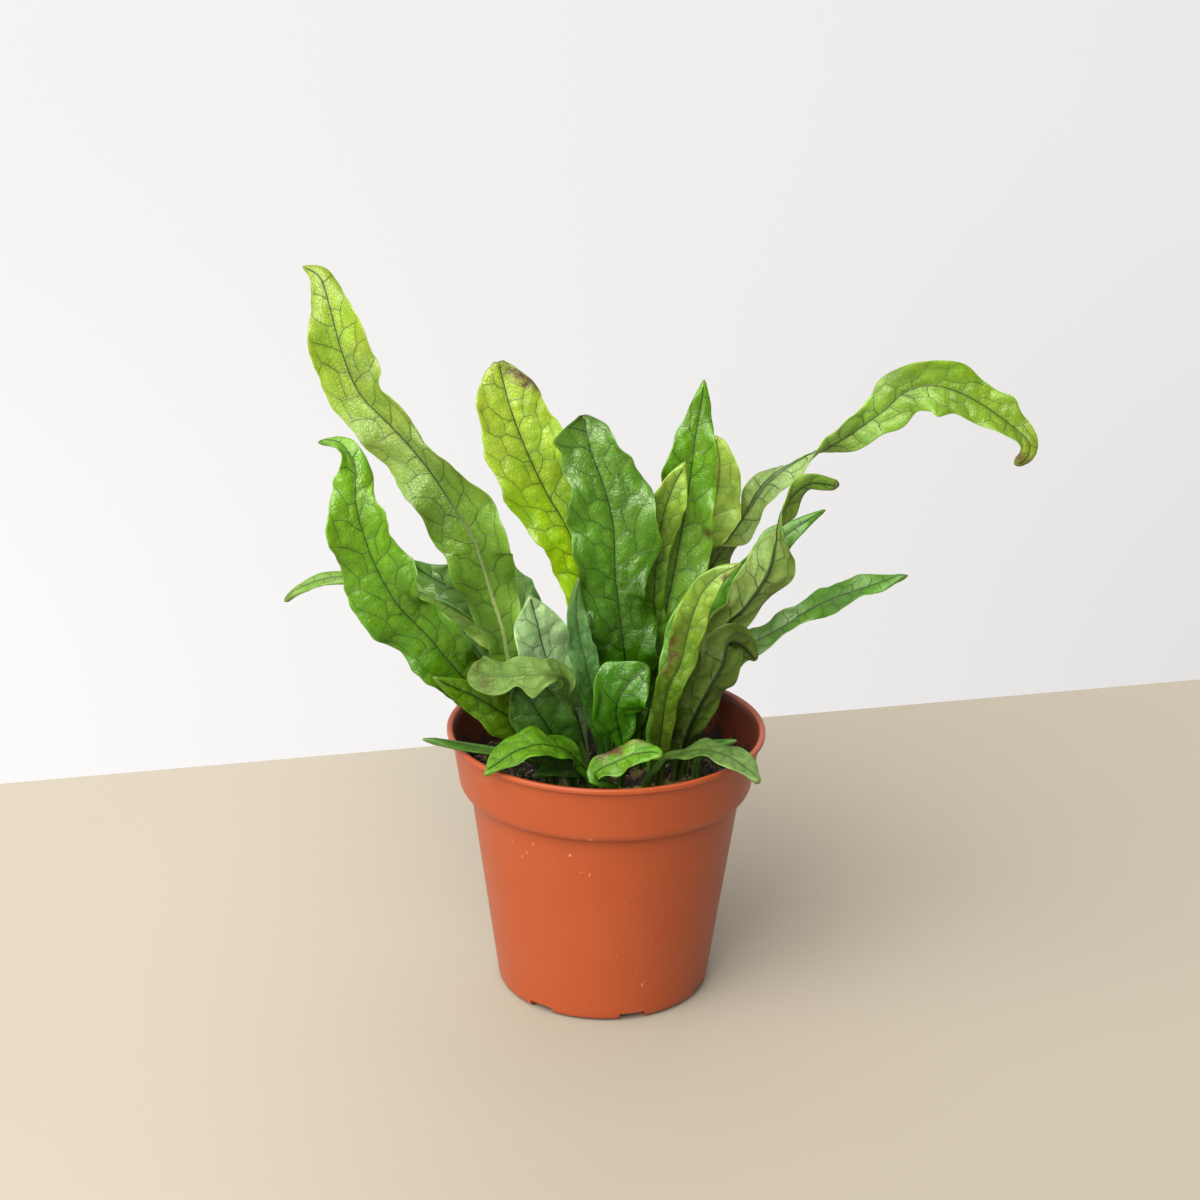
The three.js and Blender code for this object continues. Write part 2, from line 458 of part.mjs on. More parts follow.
// ---- Soil ---------------------------------------------------------------------------------
/** The potting mix: it fills the pot to below the collar, with a low lumpy crown. */
function soilBody() {
  const gap = SOIL.clearance;
  const inside = (z) => bodyRadius(z) - POT.wall - gap;
  const floor = BASE.floorTop + gap;
  const shelf = POT.bodyTop + POT.wall + gap;
  const edge = collarRadius(shelf) - 1.3 * POT.wall - gap;
  const crown = SOIL.surface + SOIL.crownRise;
  const rings = [
    [0, floor], [inside(floor), floor], [inside(POT.bodyTop), POT.bodyTop - gap],
    [inside(POT.bodyTop), shelf], [edge, shelf], [edge, SOIL.surface],
    [SOIL.crownEdge, SOIL.surface + 0.6 * SOIL.crownRise], [SOIL.crownTop, crown], [0, crown],
  ];
  const profile = rings.map(([r, z]) => new THREE.Vector2(r, z));
  const geometry = new THREE.LatheGeometry(profile, SOIL.sides).rotateX(Math.PI / 2);
  const place = geometry.attributes.position;
  for (let i = 0; i < place.count; i += 1) {
    const [x, y, z] = [place.getX(i), place.getY(i), place.getZ(i)];
    const broad = Math.sin(0.31 * x + 1.3) * Math.cos(0.27 * y - 0.4);
    const fine = 0.6 * Math.sin(0.53 * y + 0.19 * x);
    if (z > SOIL.surface + 0.1) place.setZ(i, z + SOIL.lumps * (broad + fine));
  }
  return toSolid(geometry);
}

// ---- The whole plant ----------------------------------------------------------------------
const potted_fern = new THREE.Group();

function place(name, geometry, colour, roughness) {
  const material = new THREE.MeshStandardMaterial({ color: colour, roughness, metalness: 0 });
  const mesh = new THREE.Mesh(geometry, material);
  mesh.name = name;
  potted_fern.add(mesh);
}

const random = randomStream(SEED);
place("pot", pot(), 0xb9582f, 0.5);

const holes = FRONDS.map(stalkHole).reduce((all, hole) => all.add(hole));
place("rhizome", fromSolid(rhizomeBranches(0).subtract(holes)), 0x5b4a2a, 0.8);
const bed = soilBody().subtract(rhizomeBranches(SOIL.clearance)).subtract(holes);
place("soil", fromSolid(bed), 0x2b1d14, 0.95);

for (const frond of FRONDS) {
  const phases = [0, 1, 2, 3].map(() => 2 * Math.PI * random());
  place(frond.name, frondGeometry(frond, phases), frond.colour, 0.4);
}

export default potted_fern;
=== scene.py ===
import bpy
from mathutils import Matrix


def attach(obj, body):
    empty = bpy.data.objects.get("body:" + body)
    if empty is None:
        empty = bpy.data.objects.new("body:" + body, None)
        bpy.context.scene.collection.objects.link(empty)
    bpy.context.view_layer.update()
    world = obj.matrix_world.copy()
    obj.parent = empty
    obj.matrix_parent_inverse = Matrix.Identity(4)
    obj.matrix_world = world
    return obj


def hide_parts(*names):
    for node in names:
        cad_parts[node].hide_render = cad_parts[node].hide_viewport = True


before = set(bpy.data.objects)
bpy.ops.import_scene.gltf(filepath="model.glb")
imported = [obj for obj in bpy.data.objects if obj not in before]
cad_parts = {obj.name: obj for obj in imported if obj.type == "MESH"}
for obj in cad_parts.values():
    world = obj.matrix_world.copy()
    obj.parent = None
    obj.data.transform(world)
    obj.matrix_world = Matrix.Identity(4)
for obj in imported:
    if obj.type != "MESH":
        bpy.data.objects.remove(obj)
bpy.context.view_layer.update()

from types import SimpleNamespace

import bpy
import numpy as np
from mathutils import Matrix, Vector


# ---- View, light and floor ----------------------------------------------------------------
# The plant stands on a pale matt table top whose far edge runs a little askew behind it. The
# light is a large soft one from the front left and above, in a pale room. The camera stands
# 0.92 m in front of the pot and looks down on it by 20 degrees.
CAMERA_AT = (0.0, -0.920, 0.49266)
CAMERA_YAW, CAMERA_PITCH, CAMERA_ROLL = np.radians([-0.182, 20.199, -0.758])
PICTURE_SIDE = 1200
FOCAL_PIXELS = 2648.185
SENSOR = 36.0

forward = np.array([np.sin(CAMERA_YAW) * np.cos(CAMERA_PITCH),
                    np.cos(CAMERA_YAW) * np.cos(CAMERA_PITCH), -np.sin(CAMERA_PITCH)])
level = np.array([np.cos(CAMERA_YAW), -np.sin(CAMERA_YAW), 0.0])
upward = np.cross(level, forward)
right = np.cos(CAMERA_ROLL) * level - np.sin(CAMERA_ROLL) * upward
upward = np.sin(CAMERA_ROLL) * level + np.cos(CAMERA_ROLL) * upward
place = np.eye(4)
place[:3, :3] = np.stack([right, upward, -forward], axis=1)
place[:3, 3] = CAMERA_AT


def placed(name, data):
    """A camera, a light or a mesh put into the scene as an object."""
    made = bpy.data.objects.new(name, data)
    bpy.context.scene.collection.objects.link(made)
    return made


lens = bpy.data.cameras.new("camera")
lens.sensor_width = SENSOR
lens.lens = FOCAL_PIXELS * SENSOR / PICTURE_SIDE
camera = placed("camera", lens)
camera.matrix_world = Matrix(place.tolist())
bpy.context.scene.camera = camera
bpy.context.scene.view_settings.view_transform = "Standard"


def add_node(tree, kind, *inputs, out=0, **settings):
    """Adds a shader node, sets or links its inputs in order, and gives one of its outputs."""
    made = tree.nodes.new(kind)
    for key, value in settings.items():
        setattr(made, key, value)
    for socket, value in zip(made.inputs, inputs):
        if isinstance(value, bpy.types.NodeSocket):
            tree.links.new(value, socket)
        elif value is not None:
            socket.default_value = value
    return made.outputs[out]


def maths(tree, operation, a, b=None):
    """One arithmetic step on numbers or sockets."""
    return add_node(tree, "ShaderNodeMath", a, b, operation=operation)


def ramp(tree, value, low, high, at_low=0.0, at_high=1.0):
    """at_low below low, at_high above high, and an S-shaped change between."""
    return add_node(tree, "ShaderNodeMapRange", value, low, high, at_low, at_high,
                    interpolation_type="SMOOTHSTEP")


def blend(tree, share, a, b, way="MIX"):
    """A mix of two colours by a share from 0, all a, to 1, all b."""
    return add_node(tree, "ShaderNodeMix", share, None, None, None, None, None, a, b,
                    out=2, data_type="RGBA", blend_type=way)


def noise(tree, at, scale, detail=2.0, roughness=0.5):
    """Smooth random clouds between 0 and 1, scale of them to a metre."""
    return add_node(tree, "ShaderNodeTexNoise", at, None, scale, detail, roughness)


def object_spot(tree):
    """The place on a piece in metres."""
    return add_node(tree, "ShaderNodeTexCoord", out=3)


def axes_of(tree, vector):
    """The three parts of a vector."""
    return add_node(tree, "ShaderNodeSeparateXYZ", vector).node.outputs


def linear(red, green, blue, alpha=1.0):
    """A linear colour from the eye's 0 to 255 values."""
    share = np.array([red, green, blue]) / 255
    curved = np.where(share <= 0.04045, share / 12.92, ((share + 0.055) / 1.055) ** 2.4)
    return (*curved.tolist(), alpha)


# Each way points from the plant to a bright part of the room, and each edge says where that part
# begins and where it is full: as a cosine for the window and the screen, and as a share of the
# way for the far wall, its low part and the ceiling. The wall falls off to the right.
ROOM_COLOUR = linear(250, 248, 247)
ROOM_BASE = 0.12
WINDOW_WAY, WINDOW_EDGE, WINDOW_GLOW = (-0.55, -0.58, 0.60), (0.62, 0.99), 4.3
SCREEN_WAY, SCREEN_EDGE, SCREEN_GLOW = (-0.12, -0.83, 0.545), (0.950, 0.985), 5.5
WALL_EDGE, WALL_GLOW, WALL_FALL = (0.05, 0.55), 0.80, 0.24
LOW_EDGE, LOW_FALL = (-0.40, -0.14), 0.42
CEILING_EDGE, CEILING_GLOW = (0.2, 0.9), 0.50

room = bpy.data.worlds.new("room")
room.use_nodes = True
bpy.context.scene.world = room
tree = room.node_tree
way = add_node(tree, "ShaderNodeTexCoord", out=0)
x, y, z = axes_of(tree, way)
window = add_node(tree, "ShaderNodeVectorMath", way, WINDOW_WAY, out=1, operation="DOT_PRODUCT")
screen = add_node(tree, "ShaderNodeVectorMath", way, SCREEN_WAY, out=1, operation="DOT_PRODUCT")
bright_part = maths(tree, "ADD", ramp(tree, window, *WINDOW_EDGE, 0.0, WINDOW_GLOW),
                    ramp(tree, screen, *SCREEN_EDGE, 0.0, SCREEN_GLOW))
wall_part = ramp(tree, y, *WALL_EDGE, 0.0, WALL_GLOW)
fall = ramp(tree, z, *LOW_EDGE, WALL_FALL + LOW_FALL, WALL_FALL)
sideways = maths(tree, "SUBTRACT", 1.0, maths(tree, "MULTIPLY", x, fall))
ceiling_part = ramp(tree, z, *CEILING_EDGE, ROOM_BASE, ROOM_BASE + CEILING_GLOW)
glow = maths(tree, "ADD", maths(tree, "ADD", bright_part, ceiling_part),
             maths(tree, "MULTIPLY", wall_part, sideways))
background = tree.nodes["Background"]
background.inputs["Color"].default_value = ROOM_COLOUR
tree.links.new(glow, background.inputs["Strength"])


PLANT_MIDDLE = (0, 0, 0.12)


def soft_light(name, at, size, watts, colour):
    """A square soft light at a place, turned towards the plant."""
    data = bpy.data.lights.new(name, "AREA")
    data.size = size
    data.energy = watts
    data.color = colour
    lamp = placed(name, data)
    lamp.location = at
    lamp.rotation_euler = (Vector(at) - Vector(PLANT_MIDDLE)).to_track_quat("Z", "Y").to_euler()


soft_light("window", at=(-0.60, -1.04, 1.38), size=1.00, watts=17.0, colour=(1.0, 0.99, 0.96))


def plain_mesh(name, points, *groups, smooth=True):
    """A mesh object from an array of points and one or more arrays of faces, each array with
    its own number of corners."""
    points = np.asarray(points, dtype=np.float32).reshape(-1, 3)
    groups = [np.asarray(group, dtype=np.int32) for group in groups]
    corners = np.concatenate([np.full(len(group), group.shape[1]) for group in groups])
    mesh = bpy.data.meshes.new(name)
    mesh.vertices.add(len(points))
    mesh.vertices.foreach_set("co", points.ravel())
    mesh.loops.add(int(corners.sum()))
    mesh.loops.foreach_set("vertex_index", np.concatenate([group.ravel() for group in groups]))
    mesh.polygons.add(len(corners))
    mesh.polygons.foreach_set("loop_start", np.r_[0, np.cumsum(corners)[:-1]].astype(np.int32))
    mesh.polygons.foreach_set("use_smooth", np.full(len(corners), smooth))
    mesh.update(calc_edges=True)
    return placed(name, mesh)


def new_material(name):
    """A node material and its Principled shader node."""
    material = bpy.data.materials.new(name)
    material.use_nodes = True
    return material, material.node_tree, material.node_tree.nodes["Principled BSDF"]


TABLE_FAR = ((-1.50, -0.150), (1.50, 0.628))
TABLE_NEAR = -2.0
TABLE_DARK, TABLE_PALE = linear(164, 155, 139), linear(172, 163, 147)
TABLE_RIGHT_SHADE, TABLE_SPECKS = linear(138, 131, 114), linear(120, 110, 92)
table_corners = [(TABLE_FAR[0][0], TABLE_NEAR, 0), (TABLE_FAR[1][0], TABLE_NEAR, 0),
                 (*TABLE_FAR[1], 0), (*TABLE_FAR[0], 0)]
table = plain_mesh("table_top", table_corners, [[0, 1, 2, 3]], smooth=False)
material, tree, shader = new_material("table_matt")
spot = object_spot(tree)
from_left = axes_of(tree, spot)[0]
tone = blend(tree, noise(tree, spot, 2.5), TABLE_DARK, TABLE_PALE)
# Painted shade: the table top darkens towards the right, where the light from the left falls off.
tone = blend(tree, ramp(tree, from_left, -0.20, 0.02, 0.0, 0.5), tone, TABLE_RIGHT_SHADE)
tone = blend(tree, maths(tree, "MULTIPLY", noise(tree, spot, 900.0, 3.0), 0.12), tone, TABLE_SPECKS)
tree.links.new(tone, shader.inputs["Base Color"])
shader.inputs["Roughness"].default_value = 0.7
table.data.materials.append(material)


# ---- Pot ----------------------------------------------------------------------------------
# A thin nursery pot, 120 mm across its rim and 104 mm tall, moulded in one piece from
# terracotta-coloured plastic: a tapered body, a collar band, a turned-out lip and a foot ring
# with seven notches. Seven holes drain its floor. Its skin is fine orange peel with scuffs.
MM = 0.001
POT = dict(rim=60.0, height=104.0, wall=1.3, lip=1.9, foot=40.0, foot_corner=1.8, foot_rise=1.4,
           body_top=51.4, shoulder=81.0, collar_foot=54.6, collar_top=58.2, flange=101.6)
FLOOR = dict(pad=12.0, channel=2.4, channel_edge=31.0, slope=1.5, top=4.0)
NOTCH = dict(count=7, first=-125.0, width=10.0, height=3.2, inner=30.0, outer=44.0)
DRAIN = dict(radius=4.0, at=22.0, sides=28, low=-3.0, high=9.0)
TURN_STEPS = 224


def rounded(corners, radii, steps=5):
    """An outline whose corners are eased: each corner is swapped for a curve that leaves one
    side and joins the next at the corner's radius, as the blend (1-t)^2 a + 2t(1-t) c + t^2 b."""
    corners = np.array(corners, float)
    eased = [corners[:1]]
    t = np.linspace(0, 1, steps)[:, None]
    for before, corner, after, radius in zip(corners, corners[1:], corners[2:], radii):
        back, on = before - corner, after - corner
        reach = min(radius, 0.45 * np.linalg.norm(back), 0.45 * np.linalg.norm(on))
        a = corner + back / np.linalg.norm(back) * reach
        b = corner + on / np.linalg.norm(on) * reach
        eased.append((1 - t) ** 2 * a + 2 * t * (1 - t) * corner + t ** 2 * b)
    return np.concatenate([*eased, corners[-1:]])


def divided(outline, longest):
    """The same outline with extra points, so that no step is longer than longest."""
    steps = np.maximum(1, np.ceil(np.linalg.norm(np.diff(outline, axis=0), axis=1) / longest))
    spans = [a + (b - a) * np.linspace(0, 1, int(n), endpoint=False)[:, None]
             for a, b, n in zip(outline, outline[1:], steps)]
    return np.concatenate([*spans, outline[-1:]])


def body_radius(z):
    """The body's outer radius at a height: a straight taper from the foot to the shoulder."""
    return POT["foot"] + (POT["body_top"] - POT["foot"]) * z / POT["shoulder"]


def collar_radius(z):
    """The collar's outer radius at a height: a straight taper from the shoulder to the flange."""
    rise = (z - POT["shoulder"]) / (POT["flange"] - POT["shoulder"])
    return POT["collar_foot"] + (POT["collar_top"] - POT["collar_foot"]) * rise


def even_angles(count):
    """Angles in radians, evenly spaced round a full turn."""
    return 2 * np.pi * np.arange(count) / count


def ring_walls(rows, sides):
    """Quads between rings of points that follow each other, each ring with sides points."""
    i, j = np.meshgrid(np.arange(rows - 1), np.arange(sides), indexing="ij")
    here, beside = i * sides + j, i * sides + (j + 1) % sides
    return np.stack([here, beside, beside + sides, here + sides], axis=-1).reshape(-1, 4)


def turned_mesh(name, outline, sides, sway=None):
    """A solid of revolution: the outline of [radius, height] from axis to axis, carried round
    by sides steps. sway(angle, height) gives the share by which the radius grows there."""
    outline = np.asarray(outline)
    angle = even_angles(sides)
    ring = outline[1:-1]
    grow = 1 + (sway(angle[None, :], ring[:, 1:]) if sway else 0 * angle[None, :])
    radius = ring[:, :1] * grow
    points = np.stack([radius * np.cos(angle), radius * np.sin(angle),
                       ring[:, 1:] + 0 * radius], axis=-1).reshape(-1, 3)
    poles = np.array([[0, 0, outline[0, 1]], [0, 0, outline[-1, 1]]])
    j = np.arange(sides)
    beside = (j + 1) % sides
    pole, last = len(points), len(points) - sides
    first = np.stack([np.full(sides, pole), beside, j], axis=-1)
    final = np.stack([np.full(sides, pole + 1), last + j, last + beside], axis=-1)
    return plain_mesh(name, np.concatenate([points, poles]) * MM, ring_walls(len(ring), sides),
                      np.concatenate([first, final]))


def pot_outline():
    """The section of the pot's wall, from the axis under the floor out, up, in and back."""
    wall, height, shoulder, flange = POT["wall"], POT["height"], POT["shoulder"], POT["flange"]
    rim, lip_foot = POT["rim"], height - 0.5 * POT["wall"]
    corners = [
        (0, 0), (FLOOR["pad"], 0), (FLOOR["pad"] + FLOOR["slope"], FLOOR["channel"]),
        (FLOOR["channel_edge"] - FLOOR["slope"], FLOOR["channel"]), (FLOOR["channel_edge"], 0),
        (POT["foot"] - POT["foot_corner"], 0),
        (body_radius(POT["foot_rise"]) + 0.1, POT["foot_rise"]),
        (body_radius(shoulder), shoulder + 0.2), (collar_radius(shoulder) - 0.3, shoulder + 0.1),
        (collar_radius(shoulder + 2) + 0.35, shoulder + 2.0), (collar_radius(flange), flange),
        (rim, flange + 0.5), (rim, height), (rim - POT["lip"], height),
        (collar_radius(flange) - wall, lip_foot - 1.6),
        (collar_radius(shoulder) - wall, shoulder + wall),
        (body_radius(shoulder) - wall, shoulder + 0.4),
        (body_radius(FLOOR["top"]) - wall, FLOOR["top"]), (0, FLOOR["top"]),
    ]
    radii = [0.5, 0.8, 0.8, 0.4, 1.6, 2.4, 0.5, 0.8, 1.6, 1.2, 0.5, 0.7, 0.7, 1.5, 1.5, 1.5, 2.0]
    return divided(rounded(corners, radii), 3.0)


def hand_wobble(angle, z):
    """A thin pot is never quite round: the radius sways by a share of about 0.3 % at the rim,
    as two and three waves round the pot that fade towards the foot."""
    rise = np.clip(z / POT["height"], 0, 1)
    return rise * (0.0016 * np.cos(2 * angle + 0.6) + 0.0011 * np.cos(3 * angle - 1.0) - 0.0016)


BOX_CORNERS = np.array([[0, -1, -1], [1, -1, -1], [1, 1, -1], [0, 1, -1],
                        [0, -1, 1], [1, -1, 1], [1, 1, 1], [0, 1, 1]], float)
BOX_FACES = np.array([[0, 3, 2, 1], [4, 5, 6, 7], [0, 1, 5, 4], [1, 2, 6, 5], [2, 3, 7, 6],
                      [3, 0, 4, 7]])


def cutter_mesh(name):
    """The notch blocks and drain rods in one mesh: a block lies across the foot ring at each
    notch, and a rod stands through the floor half way between two notches."""
    block = BOX_CORNERS * [NOTCH["outer"] - NOTCH["inner"], NOTCH["width"] / 2, NOTCH["height"]]
    block[:, 0] += NOTCH["inner"]
    sides = DRAIN["sides"]
    turn, rod_walls = even_angles(sides), ring_walls(2, sides)
    j = np.arange(sides)
    points, faces = [], []
    for angle in np.radians(NOTCH["first"] + 360 / NOTCH["count"] * np.arange(NOTCH["count"])):
        spin = np.array([[np.cos(angle), np.sin(angle), 0], [-np.sin(angle), np.cos(angle), 0],
                         [0, 0, 1]])
        faces += (BOX_FACES + sum(map(len, points))).tolist()
        points.append(block @ spin)
        middle = angle + np.pi / NOTCH["count"]
        ring = np.stack([DRAIN["at"] * np.cos(middle) + DRAIN["radius"] * np.cos(turn),
                         DRAIN["at"] * np.sin(middle) + DRAIN["radius"] * np.sin(turn)], axis=-1)
        start = sum(map(len, points))
        points.append(np.concatenate([np.c_[ring, np.full(sides, DRAIN["low"])],
                                      np.c_[ring, np.full(sides, DRAIN["high"])]]))
        faces += (rod_walls + start).tolist()
        faces += [(start + j[::-1]).tolist(), (start + sides + j).tolist()]
    mesh = bpy.data.meshes.new(name)
    mesh.from_pydata((np.concatenate(points) * MM).tolist(), [], faces)
    return placed(name, mesh)


pot = turned_mesh("nursery_pot", pot_outline(), TURN_STEPS, hand_wobble)
cutter = cutter_mesh("cutter")
cut = pot.modifiers.new("cut", "BOOLEAN")
cut.object, cut.operation, cut.solver = cutter, "DIFFERENCE", "EXACT"
finished = bpy.data.meshes.new_from_object(pot.evaluated_get(bpy.context.evaluated_depsgraph_get()))
pot.modifiers.clear()
pot.data = finished
bpy.data.objects.remove(cutter)
finished.polygons.foreach_set("use_smooth", np.full(len(finished.polygons), True))
finished.set_sharp_from_angle(angle=np.radians(38))

POT_FRONT, POT_PALE = linear(150, 65, 28), linear(162, 80, 42)
POT_INSIDE_SHADE, POT_SCUFF = linear(96, 42, 24), linear(226, 164, 128)
SOIL_STAIN = linear(30, 20, 12)

material, tree, shader = new_material("terracotta_plastic")
spot = object_spot(tree)
x, y, z = axes_of(tree, spot)
squares = maths(tree, "ADD", maths(tree, "MULTIPLY", x, x), maths(tree, "MULTIPLY", y, y))
radius = maths(tree, "SQRT", squares)

# The inside is what lies within the wall's middle, above the floor and below the lip.
body_slope = (POT["body_top"] - POT["foot"]) / POT["shoulder"]
collar_slope = (POT["collar_top"] - POT["collar_foot"]) / (POT["flange"] - POT["shoulder"])
body_start = POT["foot"] - 0.5 * POT["wall"]
collar_start = POT["collar_foot"] - 0.5 * POT["wall"] - collar_slope * POT["shoulder"]
body_middle = maths(tree, "ADD", body_start * MM, maths(tree, "MULTIPLY", z, body_slope))
collar_middle = maths(tree, "ADD", collar_start * MM, maths(tree, "MULTIPLY", z, collar_slope))
in_collar = maths(tree, "GREATER_THAN", z, POT["shoulder"] * MM)
middle = add_node(tree, "ShaderNodeMix", in_collar, None, body_middle, collar_middle,
                  data_type="FLOAT")
between = maths(tree, "MULTIPLY", maths(tree, "GREATER_THAN", z, (FLOOR["top"] - 0.2) * MM),
                maths(tree, "LESS_THAN", z, (POT["height"] - 0.7) * MM))
inside = maths(tree, "MULTIPLY", maths(tree, "LESS_THAN", radius, middle), between)

cloud = noise(tree, spot, 38.0, 4.0, 0.6)
level_spot = add_node(tree, "ShaderNodeVectorMath", spot, (30.0, 30.0, 220.0), operation="MULTIPLY")
streak = noise(tree, level_spot, 1.0, 3.0, 0.6)
skin = blend(tree, ramp(tree, cloud, 0.35, 0.75, 0.0, 0.22), POT_FRONT, POT_PALE)
skin = blend(tree, ramp(tree, streak, 0.62, 0.80, 0.0, 0.18), skin, POT_PALE)
scuff, scuff_at = noise(tree, spot, 520.0), noise(tree, spot, 26.0)
scuffed = maths(tree, "MULTIPLY", ramp(tree, scuff, 0.66, 0.74), ramp(tree, scuff_at, 0.58, 0.68))
skin = blend(tree, maths(tree, "MULTIPLY", scuffed, 0.5), skin, POT_SCUFF)

smear = noise(tree, spot, 140.0, 5.0, 0.65)
low_down = ramp(tree, z, 0.083, 0.099, 0.42, 0.70)
stained = ramp(tree, maths(tree, "SUBTRACT", smear, low_down), -0.06, 0.04)
# Painted shade: inside the pot the wall is painted a darker orange, and real soil stains are
# smeared over it, most towards the soil.
shaded_lining = blend(tree, maths(tree, "MULTIPLY", stained, 0.9), POT_INSIDE_SHADE, SOIL_STAIN)
tree.links.new(blend(tree, inside, skin, shaded_lining), shader.inputs["Base Color"])
shader.inputs["Specular IOR Level"].default_value = 0.38
gloss = ramp(tree, cloud, 0.3, 0.8, 0.36, 0.46)
dull = maths(tree, "MULTIPLY", stained, maths(tree, "MULTIPLY", inside, 0.35))
tree.links.new(maths(tree, "ADD", gloss, dull), shader.inputs["Roughness"])
peel = noise(tree, spot, 1500.0)
ripples = maths(tree, "ADD", maths(tree, "MULTIPLY", peel, 0.35),
                maths(tree, "MULTIPLY", streak, 0.25))
relief = add_node(tree, "ShaderNodeBump", 0.35, 0.0004, None, ripples)
tree.links.new(relief, shader.inputs["Normal"])
pot.data.materials.append(material)
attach(pot, "root")
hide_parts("pot")


# ---- Potting soil -------------------------------------------------------------------------
# Peat and fine bark, poured into the pot by hand to about 20 mm below the rim and sunk a
# little since. Its top is crumbly: loose crumbs, bark chips, a few pale grains, thin roots and
# small star-shaped sprigs of moss.
SOIL = dict(surface=83.4, crown=1.6, crown_edge=38.0, crown_top=18.0, lumps=0.9, gap=0.35)
SOIL_TURN, SOIL_RINGS = 300, 110
draws = np.random.default_rng(12)


def ripple(x, y, scale, seed):
    """A smooth hilly field between about -1 and 1: the mean of six plane waves whose lengths
    lie about scale and whose ways and phases come from the seed."""
    chance = np.random.default_rng(seed)
    total = 0.0
    for way, phase, stretch in zip(chance.uniform(0, 2 * np.pi, 6), chance.uniform(0, 2 * np.pi, 6),
                                   chance.uniform(0.7, 1.4, 6)):
        k = 2 * np.pi / (scale * stretch)
        total = total + np.sin(k * (x * np.cos(way) + y * np.sin(way)) + phase)
    return total / 3.4


def soil_height(x, y):
    """Height of the soil's top: a low crown, broad lumps as in the solid, and crumbly relief."""
    r = np.hypot(x, y)
    crown = np.interp(r, [0, SOIL["crown_top"], SOIL["crown_edge"], 56],
                      SOIL["surface"] + SOIL["crown"] * np.array([1, 1, 0.6, 0]))
    broad = np.sin(0.31 * x + 1.3) * np.cos(0.27 * y - 0.4) + 0.6 * np.sin(0.53 * y + 0.19 * x)
    inner = np.clip((54 - r) / 10, 0, 1)
    crumbs = 0.55 * ripple(x, y, 6.0, 3) + 0.4 * ripple(x, y, 2.6, 4) + 0.25 * ripple(x, y, 1.3, 5)
    return crown + inner * SOIL["lumps"] * broad + crumbs


def soil_outline():
    """The soil's outside from the axis at the floor up to its top edge."""
    gap = SOIL["gap"]
    floor = FLOOR["top"] + gap

    def inside(z):
        """The radius that leaves the gap inside the pot's body at a height."""
        return body_radius(z) - POT["wall"] - gap

    shelf = POT["shoulder"] + POT["wall"] + gap
    edge = collar_radius(shelf) - 1.3 * POT["wall"] - gap
    return [(0, floor), (inside(floor), floor), (inside(POT["shoulder"]), POT["shoulder"] - gap),
            (inside(POT["shoulder"]), shelf), (edge, shelf)], edge


sides_outline, soil_edge = soil_outline()
rings = np.stack([soil_edge * np.sqrt(np.linspace(1, 0, SOIL_RINGS)), np.zeros(SOIL_RINGS)],
                 axis=-1)
soil = turned_mesh("potting_soil", np.concatenate([sides_outline, rings]), SOIL_TURN)
places = np.zeros((len(soil.data.vertices), 3), np.float32)
soil.data.vertices.foreach_get("co", places.ravel())
x, y, z = (places / MM).T
on_top = z < 1.0  # the top's rings still lie at height 0
places[on_top, 2] = soil_height(x[on_top], y[on_top]) * MM
soil.data.vertices.foreach_set("co", places.ravel())
soil.data.update()

peat, tree, shader = new_material("moist_peat")
spot = object_spot(tree)
coarse = noise(tree, spot, 240.0, 5.0, 0.65)
grit = add_node(tree, "ShaderNodeTexVoronoi", spot, None, 620.0)
tone = blend(tree, ramp(tree, coarse, 0.35, 0.7), linear(14, 10, 7), linear(44, 31, 20))
tone = blend(tree, ramp(tree, grit, 0.0, 0.35, 0.35, 0.0), tone, linear(66, 48, 32))
tree.links.new(tone, shader.inputs["Base Color"])
shader.inputs["Roughness"].default_value = 0.9
relief = add_node(tree, "ShaderNodeBump", 0.8, 0.0008, None, maths(tree, "ADD", coarse, grit))
tree.links.new(relief, shader.inputs["Normal"])
soil.data.materials.append(peat)
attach(soil, "root")
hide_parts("soil")


def copied_faces(faces, count, points_each):
    """The faces of count copies of one shape, where all their points follow each other in one
    array, points_each to a copy."""
    return (faces + (np.arange(count) * points_each)[:, None, None]).reshape(-1, faces.shape[1])


def scattered(name, shape, faces, places, sizes, chance):
    """Copies of one small shape, each turned at random and scaled by its own three sizes, in
    one mesh. The turn is a random orthonormal frame for each copy."""
    axes = np.linalg.qr(chance.normal(size=(len(places), 3, 3)))[0]
    flipped = np.linalg.det(axes) < 0
    axes[flipped, :, 0] *= -1
    points = np.einsum("kij,knj->kni", axes, shape[None] * sizes[:, None, :]) + places[:, None, :]
    return plain_mesh(name, points.reshape(-1, 3) * MM, copied_faces(faces, *points.shape[:2]),
                      smooth=False)


def on_soil(count, inner, outer, chance):
    """Random places on the soil's top, as many on each square millimetre."""
    angle = chance.uniform(0, 2 * np.pi, count)
    radius = np.sqrt(chance.uniform(inner ** 2, outer ** 2, count))
    x, y = radius * np.cos(angle), radius * np.sin(angle)
    return np.stack([x, y, soil_height(x, y)], axis=-1)


# A pebble: the twelve corners of a regular twenty-sided solid, each pushed in or out a little.
golden = (1 + 5 ** 0.5) / 2
pebble = np.array([[0, a, b * golden] for a in (-1, 1) for b in (-1, 1)]
                  + [[a, b * golden, 0] for a in (-1, 1) for b in (-1, 1)]
                  + [[a * golden, 0, b] for a in (-1, 1) for b in (-1, 1)], float)
pebble /= np.linalg.norm(pebble[0])
gaps = np.linalg.norm(pebble[:, None] - pebble[None], axis=-1)
near = (gaps > 0) & (gaps < 1.2)
pebble_faces = np.array([[i, j, k] for i in range(12) for j in range(i + 1, 12)
                         for k in range(j + 1, 12) if near[i, j] and near[j, k] and near[i, k]])
corner = pebble[pebble_faces]
facing = np.cross(corner[:, 1] - corner[:, 0], corner[:, 2] - corner[:, 0])
turned_in = np.einsum("ij,ij->i", facing, corner.sum(1)) < 0
